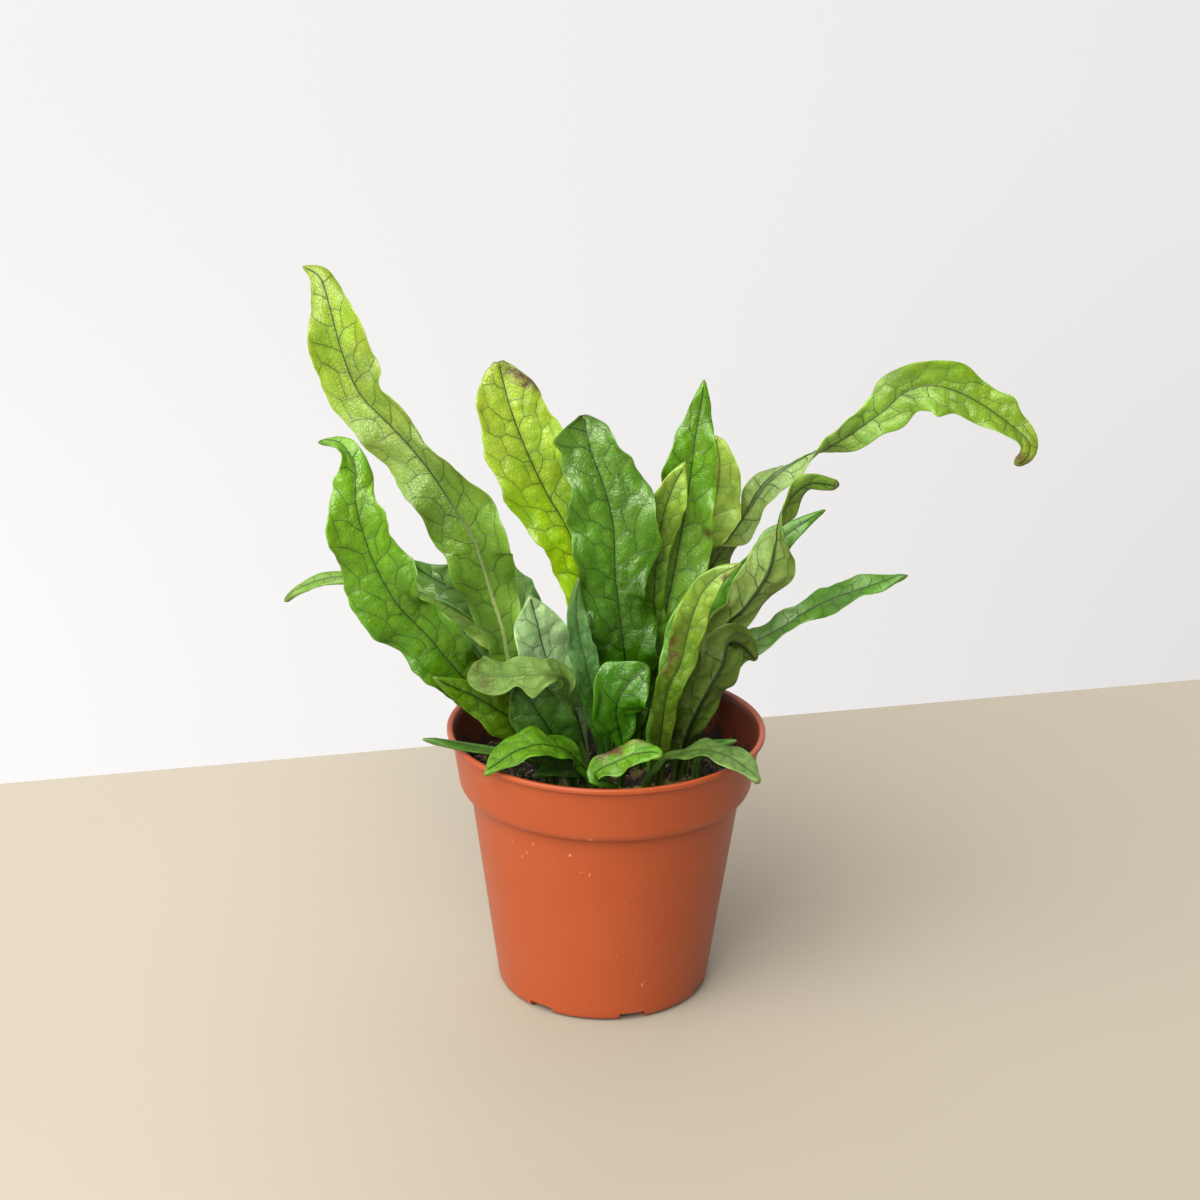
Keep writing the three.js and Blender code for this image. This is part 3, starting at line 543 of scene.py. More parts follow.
pebble_faces[turned_in] = pebble_faces[turned_in][:, ::-1]
pebble *= draws.uniform(0.75, 1.15, (12, 1))


def clouded(name, dark, pale, scale, detail, rough, edges=None):
    """A material whose colour drifts from dark to pale in random clouds, scale of them to a
    metre and detail finer sizes in each. rough is its roughness, and edges say where a sharper
    change begins and ends."""
    material, tree, shader = new_material(name)
    share = noise(tree, object_spot(tree), scale, detail, 0.6)
    if edges:
        share = ramp(tree, share, *edges)
    tree.links.new(blend(tree, share, linear(*dark), linear(*pale)), shader.inputs["Base Color"])
    shader.inputs["Roughness"].default_value = rough
    return material


CRUMBS, CHIPS, GRAINS = 2600, 150, 42
crumbs = scattered("soil_crumbs", pebble, pebble_faces, on_soil(CRUMBS, 0, 53.5, draws),
                   draws.uniform(0.35, 1.25, (CRUMBS, 3)), draws)
crumbs.data.materials.append(peat)
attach(crumbs, "root")

chips_at = on_soil(CHIPS, 4, 52.5, draws) + [0, 0, 0.5]
chips = scattered("bark_chips", pebble, pebble_faces, chips_at,
                  np.stack([draws.uniform(1.2, 2.8, CHIPS), draws.uniform(0.6, 1.2, CHIPS),
                            draws.uniform(0.3, 0.7, CHIPS)], axis=-1), draws)
bark = clouded("bark", (52, 34, 22), (128, 92, 60), 500.0, 4.0, rough=0.85, edges=(0.3, 0.7))
chips.data.materials.append(bark)
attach(chips, "root")

grains_at = on_soil(GRAINS, 10, 53, draws) + [0, 0, 0.4]
grains = scattered("pale_grains", pebble, pebble_faces, grains_at,
                   draws.uniform(0.4, 0.95, (GRAINS, 3)), draws)
perlite = clouded("perlite", (120, 110, 92), (206, 198, 180), 1200.0, 3.0, rough=0.9)
grains.data.materials.append(perlite)
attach(grains, "root")


def unit(vectors):
    """Vectors divided by their own lengths."""
    return vectors / np.maximum(np.linalg.norm(vectors, axis=-1, keepdims=True), 1e-9)


def tube_points(line, radius, sides):
    """Rings of points about each line of shape (count, steps, 3): a ring lies across the
    line's way, in the plane of two axes square to it, and radius gives its size at each step."""
    way = unit(np.gradient(line, axis=1))
    side = unit(np.cross(way, [0.31, 0.17, 0.93]))
    over = np.cross(way, side)
    angle = even_angles(sides)
    ring = side[..., None, :] * np.cos(angle)[:, None] + over[..., None, :] * np.sin(angle)[:, None]
    return line[..., None, :] + ring * radius[..., None, None]


def tube_faces(count, steps, sides):
    """Quads round and along count tubes, and a closing fan of quads at both ends."""
    k = np.arange(1, sides - 2, 2)
    start = np.stack([0 * k, k + 2, k + 1, k], axis=-1)
    end = np.stack([0 * k, k, k + 1, k + 2], axis=-1) + (steps - 1) * sides
    one = np.concatenate([ring_walls(steps, sides), start, end])
    return copied_faces(one, count, steps * sides)


# Each root runs on the soil from its start with a steady bend, arched up between its ends.
ROOTS, ROOT_STEPS, ROOT_SIDES = 130, 9, 4
root_start = on_soil(ROOTS, 3, 51, draws)
heading = draws.uniform(0, 2 * np.pi, ROOTS)
bend = draws.normal(0, 0.9, ROOTS)
length = draws.uniform(5, 15, ROOTS)
share = np.linspace(0, 1, ROOT_STEPS)
turning = heading[:, None] + bend[:, None] * share
step = (length / ROOT_STEPS)[:, None]
root_x = root_start[:, :1] + np.cumsum(np.cos(turning) * step, axis=1)
root_y = root_start[:, 1:2] + np.cumsum(np.sin(turning) * step, axis=1)
inward = np.minimum(1, 53.0 / np.maximum(np.hypot(root_x, root_y), 1e-6))
root_x, root_y = root_x * inward, root_y * inward
arch = np.sin(np.pi * share) * draws.uniform(0.2, 1.8, ROOTS)[:, None]
root_line = np.stack([root_x, root_y, soil_height(root_x, root_y) + arch], axis=-1)
thick = np.full((ROOTS, ROOT_STEPS), 0.16) * draws.uniform(0.6, 1.4, ROOTS)[:, None]
fibres = plain_mesh("root_fibres", tube_points(root_line, thick, ROOT_SIDES).reshape(-1, 3) * MM,
                    tube_faces(ROOTS, ROOT_STEPS, ROOT_SIDES))
root_skin = clouded("root_skin", (58, 40, 24), (150, 122, 82), 160.0, 2.0, rough=0.75)
fibres.data.materials.append(root_skin)
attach(fibres, "root")


# A sprig is a star of leaves from one point. A leaf is a flat diamond with a keel below.
SPRIGS, SPRIG_LEAVES, LEAF_BROAD = 260, 9, 0.16
sprig_at = on_soil(SPRIGS, 20, 53, draws) + [0, 0, 0.3]
spread = even_angles(SPRIG_LEAVES) + draws.uniform(0, 2 * np.pi, (SPRIGS, 1))
steep = draws.uniform(0.25, 1.1, (SPRIGS, SPRIG_LEAVES))
leaf_way = np.stack([np.cos(spread) * np.cos(steep), np.sin(spread) * np.cos(steep), np.sin(steep)],
                    axis=-1)
leaf_across = np.stack([-np.sin(spread), np.cos(spread), 0 * spread], axis=-1)
leaf_long = (draws.uniform(1.1, 2.4, (SPRIGS, 1, 1))
             * draws.uniform(0.7, 1.1, (SPRIGS, SPRIG_LEAVES, 1)))
heart = np.repeat(sprig_at[:, None], SPRIG_LEAVES, axis=1)
belly = heart + 0.45 * leaf_long * leaf_way
moss_leaves = np.stack([heart, belly + LEAF_BROAD * leaf_long * leaf_across,
                        heart + leaf_long * leaf_way,
                        belly - LEAF_BROAD * leaf_long * leaf_across,
                        belly - [0, 0, 0.12]], axis=2).reshape(-1, 5, 3)
moss_leaf_faces = np.array([[3, 1, 0], [3, 2, 1], [1, 4, 0], [2, 4, 1], [3, 4, 2], [0, 4, 3]])
moss = plain_mesh("moss_sprigs", moss_leaves.reshape(-1, 3) * MM,
                  copied_faces(moss_leaf_faces, *moss_leaves.shape[:2]), smooth=False)
moss_green = clouded("moss", (34, 52, 14), (96, 118, 44), 90.0, 3.0, rough=0.6, edges=(0.35, 0.65))
moss.data.materials.append(moss_green)
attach(moss, "root")


# ---- Rhizome ------------------------------------------------------------------------------
# The fern's creeping stem: a finger-thick green-brown runner that branches at the soil's top,
# knotted where stalks leave it and clad in small papery brown scales. It grew in place.
RHIZOME = dict(radius=3.8, depth=82.6, layer=0.3)
BRANCHES = [
    [[-26, -9], [-12, -12], [0, -15], [12, -16], [24, -12], [35, -7]],
    [[-24, 3], [-10, 3], [4, -4], [14, 1], [26, 6], [36, 5]],
    [[-30, 9], [-14, 15], [2, 16], [18, 17], [33, 15]],
    [[-13, -12], [-10, 3], [-12, 15]],
]
RHIZOME_STEPS, RHIZOME_SIDES = 140, 28


def smooth_line(points, t):
    """Points of a smooth curve through evenly timed places, each span the cubic whose slope at
    a place is half the step between its neighbours. t runs from 0 to 1."""
    points = np.asarray(points, float)
    wide = np.concatenate([2 * points[:1] - points[1:2], points, 2 * points[-1:] - points[-2:-1]])
    spans = len(points) - 1
    where = np.clip(np.asarray(t) * spans, 0, spans - 1e-9)
    i = where.astype(int)
    f = (where - i).reshape(-1, *[1] * (points.ndim - 1))
    a, b, c, d = wide[i], wide[i + 1], wide[i + 2], wide[i + 3]
    return b + 0.5 * f * (c - a + f * (2 * a - 5 * b + 4 * c - d + f * (3 * (b - c) + d - a)))


t = np.linspace(0, 1, RHIZOME_STEPS)
stem_lines, stem_sizes = [], []
for index, branch in enumerate(BRANCHES):
    flat = smooth_line(branch, t)
    depth = RHIZOME["depth"] - RHIZOME["layer"] * index + 0.5 * np.sin(9 * t + index)
    stem_lines.append(np.c_[flat, depth])
    knots = (1 + 0.09 * np.sin(2 * np.pi * 7 * t + 2 * index)
             + 0.04 * np.sin(2 * np.pi * 19 * t + index))
    blunt = np.clip(3.2 * np.sin(np.pi * t), 0.25, 1) ** 0.5
    stem_sizes.append(0.93 * RHIZOME["radius"] * knots * blunt)
stems = tube_points(np.array(stem_lines), np.array(stem_sizes), RHIZOME_SIDES)
rhizome = plain_mesh("creeping_rhizome", stems.reshape(-1, 3) * MM,
                     tube_faces(len(BRANCHES), RHIZOME_STEPS, RHIZOME_SIDES))

# Each scale stands on the stem at a random place and leans along it: a small pointed leaflet.
SCALES_PER_BRANCH = 190
scale_share = draws.uniform(0.03, 0.97, (len(BRANCHES), SCALES_PER_BRANCH))
scale_angle = draws.uniform(0, 2 * np.pi, scale_share.shape)
row = (scale_share * (RHIZOME_STEPS - 1)).astype(int)
column = (scale_angle / (2 * np.pi) * RHIZOME_SIDES).astype(int)
branch_of = np.arange(len(BRANCHES))[:, None]
scale_at = stems[branch_of, row, column]
outward = unit(scale_at - np.array(stem_lines)[branch_of, row])
along_stem = unit(np.gradient(np.array(stem_lines), axis=1)[branch_of, row])
sideways = np.cross(outward, along_stem)
leaflet = np.array([[0, 0, 0], [0.5, 0.45, 0.25], [0.5, -0.45, 0.25], [1.25, 0.3, 0.5],
                    [1.25, -0.3, 0.5], [2.1, 0, 0.95]])
leaflet = np.concatenate([leaflet, leaflet + [0, 0, -0.12]])
leaflet_faces = np.array([[0, 2, 1], [1, 2, 4], [1, 4, 3], [3, 4, 5], [6, 7, 8], [7, 10, 8],
                          [7, 9, 10], [9, 11, 10], [0, 1, 7], [0, 7, 6], [1, 3, 9], [1, 9, 7],
                          [3, 5, 11], [3, 11, 9], [5, 4, 10], [5, 10, 11], [4, 2, 8], [4, 8, 10],
                          [2, 0, 6], [2, 6, 8]])
frames = np.stack([along_stem, sideways, outward], axis=-1).reshape(-1, 3, 3)
scale_size = draws.uniform(0.5, 1.0, (len(frames), 1, 1))
scale_points = np.einsum("kij,nj->kni", frames, leaflet) * scale_size + scale_at.reshape(-1, 1, 3)
scales = plain_mesh("rhizome_scales", scale_points.reshape(-1, 3) * MM,
                    copied_faces(leaflet_faces, *scale_points.shape[:2]), smooth=False)

material, tree, shader = new_material("rhizome_skin")
patch = noise(tree, object_spot(tree), 130.0, 4.0, 0.6)
tone = blend(tree, ramp(tree, patch, 0.38, 0.62), linear(74, 52, 28), linear(96, 112, 48))
tree.links.new(tone, shader.inputs["Base Color"])
shader.inputs["Roughness"].default_value = 0.7
tree.links.new(add_node(tree, "ShaderNodeBump", 0.6, 0.0005, None, patch), shader.inputs["Normal"])
rhizome.data.materials.append(material)
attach(rhizome, "root")
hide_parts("rhizome")

papery_scale = clouded("papery_scale", (70, 44, 22), (170, 128, 76), 300.0, 3.0, rough=0.6)
scales.data.materials.append(papery_scale)
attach(scales, "root")


# ---- Fronds of the left side --------------------------------------------------------------
# A frond is one thin strap of leaf on a round stalk. It grew in place: a midrib that stands out
# below, side veins that fork and join into a net of cells, a blistered skin and a waved margin.
# Here are the two large ones that lean left and the two that hang out lower down behind them.
STALK_WIDTH, FULL_WIDTH, NARROWEST = 3.0, 9.0, 0.9
STALK_THICK, BLADE_THICK = 2.7, 0.42
SCALLOP, SCALLOPS_PER_WAVE = 0.05, 1.6
ROW_STEP = 0.72
COLUMN_STEP = 0.62
VEIN_STEPS = 7
NET = dict(joint=0.38, sidestep=0.25, pull=0.13, shift_along=0.17, shift_out=0.27, stretch=0.25,
           lean=0.42, curl=0.022, cross_half=0.58, bow=0.10)
SWELL, SWELL_WIDTH, DIMPLES = 0.075, 0.26, 0.12
RIDGE_WIDTH, RIDGE_BELOW, RIDGE_ABOVE, GROOVE_ABOVE = 0.75, 0.85, 0.55, 0.05
VEIN_HALF, VEIN_SINK = 0.30, 0.03
NET_LIFT, RIB_LIFT, RISE_ABOVE, RISE_BELOW = 1.0, 1.5, 0.085, 0.13
RIB_HALF_WIDTHS = [0.90, 0.52]
VEIN_SHADE = np.array([0.13, 0.22, 0.14])
PALE_RIB = np.array([0.50, 0.58, 0.22])
UNDERSIDE = np.array([0.26, 0.32, 0.13])
BROWN = np.array([0.135, 0.060, 0.018])
FOOT_BROWN = np.array([0.10, 0.075, 0.03])


def turning_points(seed):
    """A seeded stream of angles in radians, from a plain linear congruence."""
    state = seed
    while True:
        state = (state * 1664525 + 1013904223) % 2 ** 32
        yield 2 * np.pi * state / 2 ** 32


phases_of = turning_points(20)


def frond_sheet(face, cup, waves, rib, width, turn, phases, ruffle, lobes, seed):
    """The middle surface of a frond on a grid: row by row along the rib, column by column
    across. The rib is a smooth line through its points. At share s of the half width, a point
    lies half the width times |s| out from the rib, raised by the cup's angle, and by a wave
    that grows with the square of s. A finer ruffle grows with its third power. lobes are
    (side, share of the length, size, reach): a bay or lobe of the margin that is a bell curve."""
    steps = np.linspace(0, 1, 401)
    reach = np.r_[0, np.cumsum(np.linalg.norm(np.diff(smooth_line(rib, steps), axis=0), axis=1))]
    length = reach[-1]
    rows = max(24, int(length / ROW_STEP))
    u = np.linspace(0, 1, rows)
    centre = smooth_line(rib, np.interp(u * length, reach, steps))
    way = unit(np.gradient(centre, axis=0))
    facing = unit(np.array(face, float))
    normal = unit(facing - way * (way @ facing)[:, None])
    across = np.cross(way, normal)
    angle = np.radians(smooth_line(turn, u))[:, None]
    right_way = across * np.cos(angle) + normal * np.sin(angle)
    up_way = normal * np.cos(angle) - across * np.sin(angle)

    wide = np.maximum(smooth_line(width, u), NARROWEST)
    opened = np.clip((wide - STALK_WIDTH) / (FULL_WIDTH - STALK_WIDTH), 0, 1)[:, None]
    tip = max(1.4, 0.62 * width[-1])
    left_over = np.clip((1 - u) * length / tip, 0.03, 1)
    wide = wide * np.sqrt(1 - (1 - left_over) ** 2)

    half_widest = max(width) / 2
    lanes = np.r_[0, 0.35, 0.8, 1.4]
    lanes = np.r_[lanes[lanes < 0.5 * half_widest], np.arange(2.0, half_widest - 0.3, COLUMN_STEP),
                  half_widest - 0.14, half_widest] / half_widest
    s = np.r_[-lanes[:0:-1], lanes][None, :]
    rightward = s > 0
    beat = (2 * np.pi * waves[1] * u)[:, None]
    wave = np.sin(beat + np.where(rightward, phases[1], phases[0]))
    bump = np.sin(SCALLOPS_PER_WAVE * beat + np.where(rightward, phases[3], phases[2]))
    along = (u * length)[:, None]
    size = np.clip(wide / 14, 0.2, 1)[:, None]
    lobe = 0.30 * ripple(along + 40 * rightward, 0 * s, 6.5, seed) * opened * size
    for side, at, size_mm, reach_mm in lobes:
        lobe = lobe + size_mm * np.exp(-((along - at * length) / reach_mm) ** 2) * (side * s > 0)
    half = wide[:, None] / 2 * (1 + SCALLOP * opened * bump) * np.abs(s) + lobe * s ** 2
    frill = ripple(along + 90 * rightward, 3.0 * np.abs(s), 13.0, seed + 1)
    lift = (half * np.sin(np.radians(cup) * opened) + waves[0] * opened * s ** 2 * wave
            + ruffle * size * opened * np.abs(s) ** 3 * frill)
    out = np.sign(s) * half * np.cos(np.radians(cup) * opened)
    sheet = (centre[:, None] + right_way[:, None] * out[..., None]
             + up_way[:, None] * lift[..., None])
    face_way = unit(np.cross(np.gradient(sheet, axis=1), np.gradient(sheet, axis=0)))
    lost = np.einsum("ijk,ik->ij", face_way, up_way) < 0.05
    face_way[lost] = np.broadcast_to(up_way[:, None], sheet.shape)[lost]
    return SimpleNamespace(sheet=sheet, face_way=face_way, u=u, s=s, along=along, opened=opened,
                           wide=wide, out=s * wide[:, None] / 2, length=length)


def skin_order(upper_grid, lower_grid):
    """The values of two grids in the order of a leaf's points: all of the upper one, and the
    lower one without its outer columns, which are the upper one's."""
    tail = upper_grid.shape[2:]
    return np.concatenate([upper_grid.reshape(-1, *tail), lower_grid[:, 1:-1].reshape(-1, *tail)])


def closed_sheet(top, bottom):
    """Points and faces of a closed leaf from two grids that share their outer columns: the
    upper one, the lower one the other way round, and a cap of quads and triangles per end."""
    rows, columns = top.shape[:2]
    upper = np.arange(rows * columns).reshape(rows, columns)
    inner = rows * columns + np.arange(rows * (columns - 2)).reshape(rows, columns - 2)
    lower = np.concatenate([upper[:, :1], inner, upper[:, -1:]], axis=1)
    faces = [np.stack([g[:-1, :-1], g[:-1, 1:], g[1:, 1:], g[1:, :-1]], axis=-1).reshape(-1, 4)
             for g in (upper, lower)]
    faces[1] = faces[1][:, ::-1]
    foot = np.stack([upper[0, 1:-2], lower[0, 1:-2], lower[0, 2:-1], upper[0, 2:-1]], axis=-1)
    tip = np.stack([upper[-1, 1:-2], upper[-1, 2:-1], lower[-1, 2:-1], lower[-1, 1:-2]], axis=-1)
    corners = np.array([[upper[0, 0], lower[0, 1], upper[0, 1]],
                        [upper[0, -1], upper[0, -2], lower[0, -2]],
                        [upper[-1, 0], upper[-1, 1], lower[-1, 1]],
                        [upper[-1, -1], lower[-1, -2], upper[-1, -2]]])
    return skin_order(top, bottom), np.concatenate([*faces, foot, tip]), corners


def vein_net(length, widest, spacing, seed):
    """The veins of a frond laid flat, as lines of [mm along the rib, mm out from it, right
    above 0] and their half widths. On each side, side veins leave the rib one spacing apart
    and lean towards the tip. Their joints stand 0.38 spacings apart, each is pulled towards
    the cross vein that leaves it, left and right in turn, and then shifted at random, so that
    the cells come out as uneven six-sided ones. Every piece of vein is bowed a little."""
    chance = np.random.default_rng(seed)
    steps = np.linspace(0, 1, VEIN_STEPS)
    joint = NET["joint"] * spacing
    shift_along, shift_out, bow_most = NET["shift_along"], NET["shift_out"], NET["bow"]
    lines, sizes = [], []
    for side in (-1, 1):
        i, j = np.meshgrid(np.arange(-2, int(length / spacing) + 2),
                           np.arange(int(widest / 2 / joint) + 2), indexing="ij")
        pull = np.where((i + j) % 2 == 0, 1, -1) * (j > 0)
        base = (i + NET["sidestep"] * side + NET["pull"] * pull
                + chance.uniform(-shift_along, shift_along, i.shape)) * spacing
        out = ((j + chance.uniform(-shift_out, shift_out, i.shape) * (j > 0)) * joint
               * (1 + NET["stretch"] / (j + 1)))
        out = out * (j > 0)
        place = np.stack([base + NET["lean"] * out + NET["curl"] * out ** 2, side * out], axis=-1)
        outwards = np.stack([place[:, :-1], place[:, 1:]], axis=-2).reshape(-1, 2, 2)
        linked = ((i + j) % 2 == 0)[:-1] & (j > 0)[:-1]
        sideways = np.stack([place[:-1][linked], place[1:][linked]], axis=-2)
        ends = np.concatenate([outwards, sideways])
        thick = np.r_[np.full(len(outwards), 1.0), np.full(len(sideways), NET["cross_half"])]
        run = ends[:, 1] - ends[:, 0]
        bow = chance.uniform(-bow_most, bow_most, len(ends))[:, None] * np.sin(np.pi * steps)
        across = np.stack([-run[:, 1], run[:, 0]], axis=-1)
        line = ends[:, :1] + run[:, None] * steps[:, None] + across[:, None] * bow[..., None]
        lines.append(line)
        outer_share = np.abs(line[..., 1]) / (widest / 2)
        sizes.append(thick[:, None] * np.clip(1.2 - 0.9 * outer_share, 0.3, 1))
    return np.concatenate(lines), np.concatenate(sizes)


def nearest_vein(along, out, veins):
    """Distance in mm from each point of the flat blade to the net, worked out for a dozen
    rows at a time against the veins near them."""
    halfway = 0.5 * (veins[:, 1:] + veins[:, :-1]).reshape(-1, 2)
    dots = np.concatenate([veins.reshape(-1, 2), halfway])
    found = np.full(out.shape, 99.0)
    for first in range(0, len(out), 12):
        rows = slice(first, first + 12)
        close = dots[np.abs(dots[:, 0] - along[rows].mean()) < 16]
        if len(close):
            off = np.hypot(along[rows][..., None] - close[:, 0], out[rows][..., None] - close[:, 1])
            found[rows] = off.min(axis=-1)
    return found


def on_grid(grid, row, column):
    """Values of a grid at fractional rows and columns, mixed from the four around each."""
    i = np.clip(row.astype(int), 0, grid.shape[0] - 2)
    j = np.clip(column.astype(int), 0, grid.shape[1] - 2)
    f, g = (row - i)[..., None], (column - j)[..., None]
    near = grid[i, j] * (1 - g) + grid[i, j + 1] * g
    far = grid[i + 1, j] * (1 - g) + grid[i + 1, j + 1] * g
    return near * (1 - f) + far * f


def vein_strips(line, up, half, rise):
    """Thin closed prisms along lines that lie on a surface: a flat three-cornered section with
    its two feet half a width to each side, a little sunk, and its crest raised by rise."""
    way = unit(np.gradient(line, axis=1))
    side = unit(np.cross(way, up))
    foot = line - VEIN_SINK * up
    section = np.stack([foot - side * half[..., None], foot + side * half[..., None],
                        line + up * rise], axis=2)
    count, steps = line.shape[:2]
    last = (steps - 1) * 3
    ends = np.array([[0, 2, 1], [last, last + 1, last + 2]])
    return (section.reshape(-1, 3), copied_faces(ring_walls(steps, 3), count, steps * 3),
            copied_faces(ends, count, steps * 3))


def leaf_material(name):
    """Leaf skin: its colour comes from the frond's own tint and veins, with clouds, flecks and
    a fine net of the smallest veins. It has a satin gloss, and light shines through it. The
    look attribute holds the roughness, how strongly the smallest veins show, and a spare 0."""
    material, tree, shader = new_material(name)
    spot = object_spot(tree)
    tint = tree.nodes.new("ShaderNodeAttribute")
    tint.attribute_name = "leaf_colour"
    look = tree.nodes.new("ShaderNodeAttribute")
    look.attribute_name = "leaf_look"
    rough, netted, _ = axes_of(tree, look.outputs["Vector"])

    warp = add_node(tree, "ShaderNodeTexNoise", spot, None, 500.0, 2.0, out=1)
    bent = add_node(tree, "ShaderNodeVectorMath", warp, (0.0016, 0.0016, 0.0016),
                    operation="MULTIPLY")
    bent = add_node(tree, "ShaderNodeVectorMath", spot, bent, operation="ADD")
    net = add_node(tree, "ShaderNodeTexVoronoi", bent, None, 520.0, feature="DISTANCE_TO_EDGE")
    fine = maths(tree, "MULTIPLY", ramp(tree, net, 0.01, 0.09, 1.0, 0.0), netted)
    cloud = noise(tree, spot, 130.0, 4.0, 0.6)
    fleck = noise(tree, spot, 1500.0)
    skin = blend(tree, ramp(tree, cloud, 0.35, 0.65, 0.0, 0.60), tint.outputs["Color"],
                 (0.60, 0.80, 0.55, 1.0), "MULTIPLY")
    skin = blend(tree, ramp(tree, fleck, 0.45, 0.75, 0.0, 0.16), skin, (0.62, 0.70, 0.50, 1.0),
                 "MULTIPLY")
    skin = blend(tree, maths(tree, "MULTIPLY", fine, 0.24), skin, (0.38, 0.50, 0.30, 1.0),
                 "MULTIPLY")
    tree.links.new(skin, shader.inputs["Base Color"])
    shader.inputs["Specular IOR Level"].default_value = 0.75
    shader.inputs["Specular Tint"].default_value = (0.88, 1.0, 0.70, 1.0)
    tree.links.new(maths(tree, "ADD", rough, ramp(tree, cloud, 0.3, 0.7, -0.05, 0.07)),
                   shader.inputs["Roughness"])

    relief = maths(tree, "MULTIPLY", fine, -0.5)
    relief = maths(tree, "ADD", relief, maths(tree, "MULTIPLY", fleck, 0.30))
    relief = maths(tree, "ADD", relief, maths(tree, "MULTIPLY", ramp(tree, net, 0.0, 0.3), 0.35))
    relief = maths(tree, "MULTIPLY", relief, maths(tree, "ADD", 0.15, netted))
    shaped = add_node(tree, "ShaderNodeBump", 0.55, 0.0002, None, relief)
    tree.links.new(shaped, shader.inputs["Normal"])

    through = tree.nodes.new("ShaderNodeBsdfTranslucent")
    glow = blend(tree, 1.0, skin, (1.25, 1.15, 0.45, 1.0), "MULTIPLY")
    tree.links.new(glow, through.inputs["Color"])
    both = tree.nodes.new("ShaderNodeMixShader")
    both.inputs[0].default_value = 0.36
    tree.links.new(shader.outputs[0], both.inputs[1])
    tree.links.new(through.outputs[0], both.inputs[2])
    tree.links.new(both.outputs[0], tree.nodes["Material Output"].inputs["Surface"])
    return material


leaf_skins = {slot: leaf_material(slot + "_skin")
              for slot in ("pale_leaf", "fresh_leaf", "deep_leaf")}


def swollen_skins(leaf, spacing, blister, rib_up, seed):
    """The upper and the lower skin of a frond. It is a round stalk below 3 mm of width and a
    thin blade above 9 mm, with a ridge along the rib: height times exp(-(distance / width)^2).
    Between the veins both skins swell by h * (1 - exp(-(distance to the nearest / w)^2))."""
    opened, s, wide = leaf.opened, leaf.s, leaf.wide[:, None]
    blade = opened * np.clip(1.1 - np.abs(s) ** 8, 0, 1)
    between = 1 - np.exp(-(leaf.gap / (SWELL_WIDTH * spacing)) ** 2)
    swell = SWELL * spacing * blister * between * blade
    swell += DIMPLES * blister * ripple(leaf.along, leaf.out, 4.5, seed + 4) * blade

    edge = np.sqrt(np.clip(1 - np.abs(s) ** 24, 0, 1))
    stalk = np.minimum(wide, STALK_THICK) / 2 * np.sqrt(np.clip(1 - s ** 2, 0, 1))
    thin = BLADE_THICK / 2 * edge * np.clip(wide / 3, 0.25, 1)
    core = (1 - opened) * stalk + opened * thin
    taper = np.clip(1.25 - leaf.u, 0.15, 1)[:, None] * np.clip(wide / 8, 0.1, 1)
    ridge = np.exp(-(leaf.out / RIDGE_WIDTH) ** 2) * taper * opened
    above = core + (RIDGE_ABOVE * rib_up - GROOVE_ABOVE) * ridge
    below = core + RIDGE_BELOW * ridge
    return (leaf.sheet + leaf.face_way * (swell + above)[..., None],
            leaf.sheet + leaf.face_way * (swell - below)[..., None])


def colours_along(stops, u):
    """A linear colour for each row: a straight mix of colours spaced evenly from foot to tip."""
    stops = np.array([linear(*stop)[:3] for stop in stops])
    even = np.linspace(0, 1, len(stops))
    return np.stack([np.interp(u, even, stops[:, k]) for k in range(3)], axis=-1)


def skin_colours(leaf, tint, under, veins, edges, spots, sides, seed):
    """Colours of the upper and the lower skin, and a share of brown for each point. The tint is
    shaded by slow hills, by a halo along the net and the rib, and by its side of the rib, where a
    side set darker or lighter is painted shade or light. The margin is painted paler, a painted
    highlight where it turns to the light, and it is brown in places. The tip, the spots and the
    foot are brown as well."""
    u, s, along, out, opened = leaf.u, leaf.s, leaf.along, leaf.out, leaf.opened
    upper = colours_along(tint, u)
    lower = colours_along(under, u) if under else 0.62 * upper + 0.38 * UNDERSIDE
    shade = 1 + 0.15 * ripple(along, out, 30.0, seed + 5) + 0.08 * ripple(along, out, 7.0, seed + 6)
    # Painted highlight: the outermost margin is lightened by up to 30 %, as if it caught the light
    # where it turns.
    shade = shade * (1 + 0.3 * np.clip((np.abs(s) - 0.94) / 0.04, 0, 1) * opened)
    halo = 0.16 * np.exp(-(leaf.gap / 0.9) ** 2) + 0.14 * np.exp(-(out / 1.1) ** 2)
    shade = shade * (1 - veins * opened * halo)
    # Painted shade: the sides factors darken or lighten a whole half of the blade.
    shade = shade * np.where(s > 0, sides[1], sides[0])

    in_places = ripple(along, 0 * out, 11.0, seed + 7) > 0.1
    brown = edges * np.clip((np.abs(s) - 0.975) / 0.025, 0, 1) * in_places
    brown = brown + edges * np.clip(1 - (1 - u[:, None]) * leaf.length / 3.0, 0, 1)
    for at, share, size, strength in spots:
        off = np.hypot(along - at * leaf.length, out - share * leaf.wide[:, None] / 2)
        off = off + 0.35 * size * ripple(along, out, 5.0, seed + 8)
        brown = brown + strength * np.clip(1.3 - off / size, 0, 1)
    brown = np.clip(brown, 0, 1)[..., None]
    foot = (0.5 * np.clip(1 - along / 26, 0, 1) * np.ones_like(s))[..., None]

    def dressed(colour):
        """One skin's colour on the whole grid, shaded and then browned."""
        colour = colour[:, None] * shade[..., None]
        colour = colour * (1 - foot) + FOOT_BROWN * foot
        return colour * (1 - brown) + BROWN * brown

    return dressed(upper), dressed(lower), brown


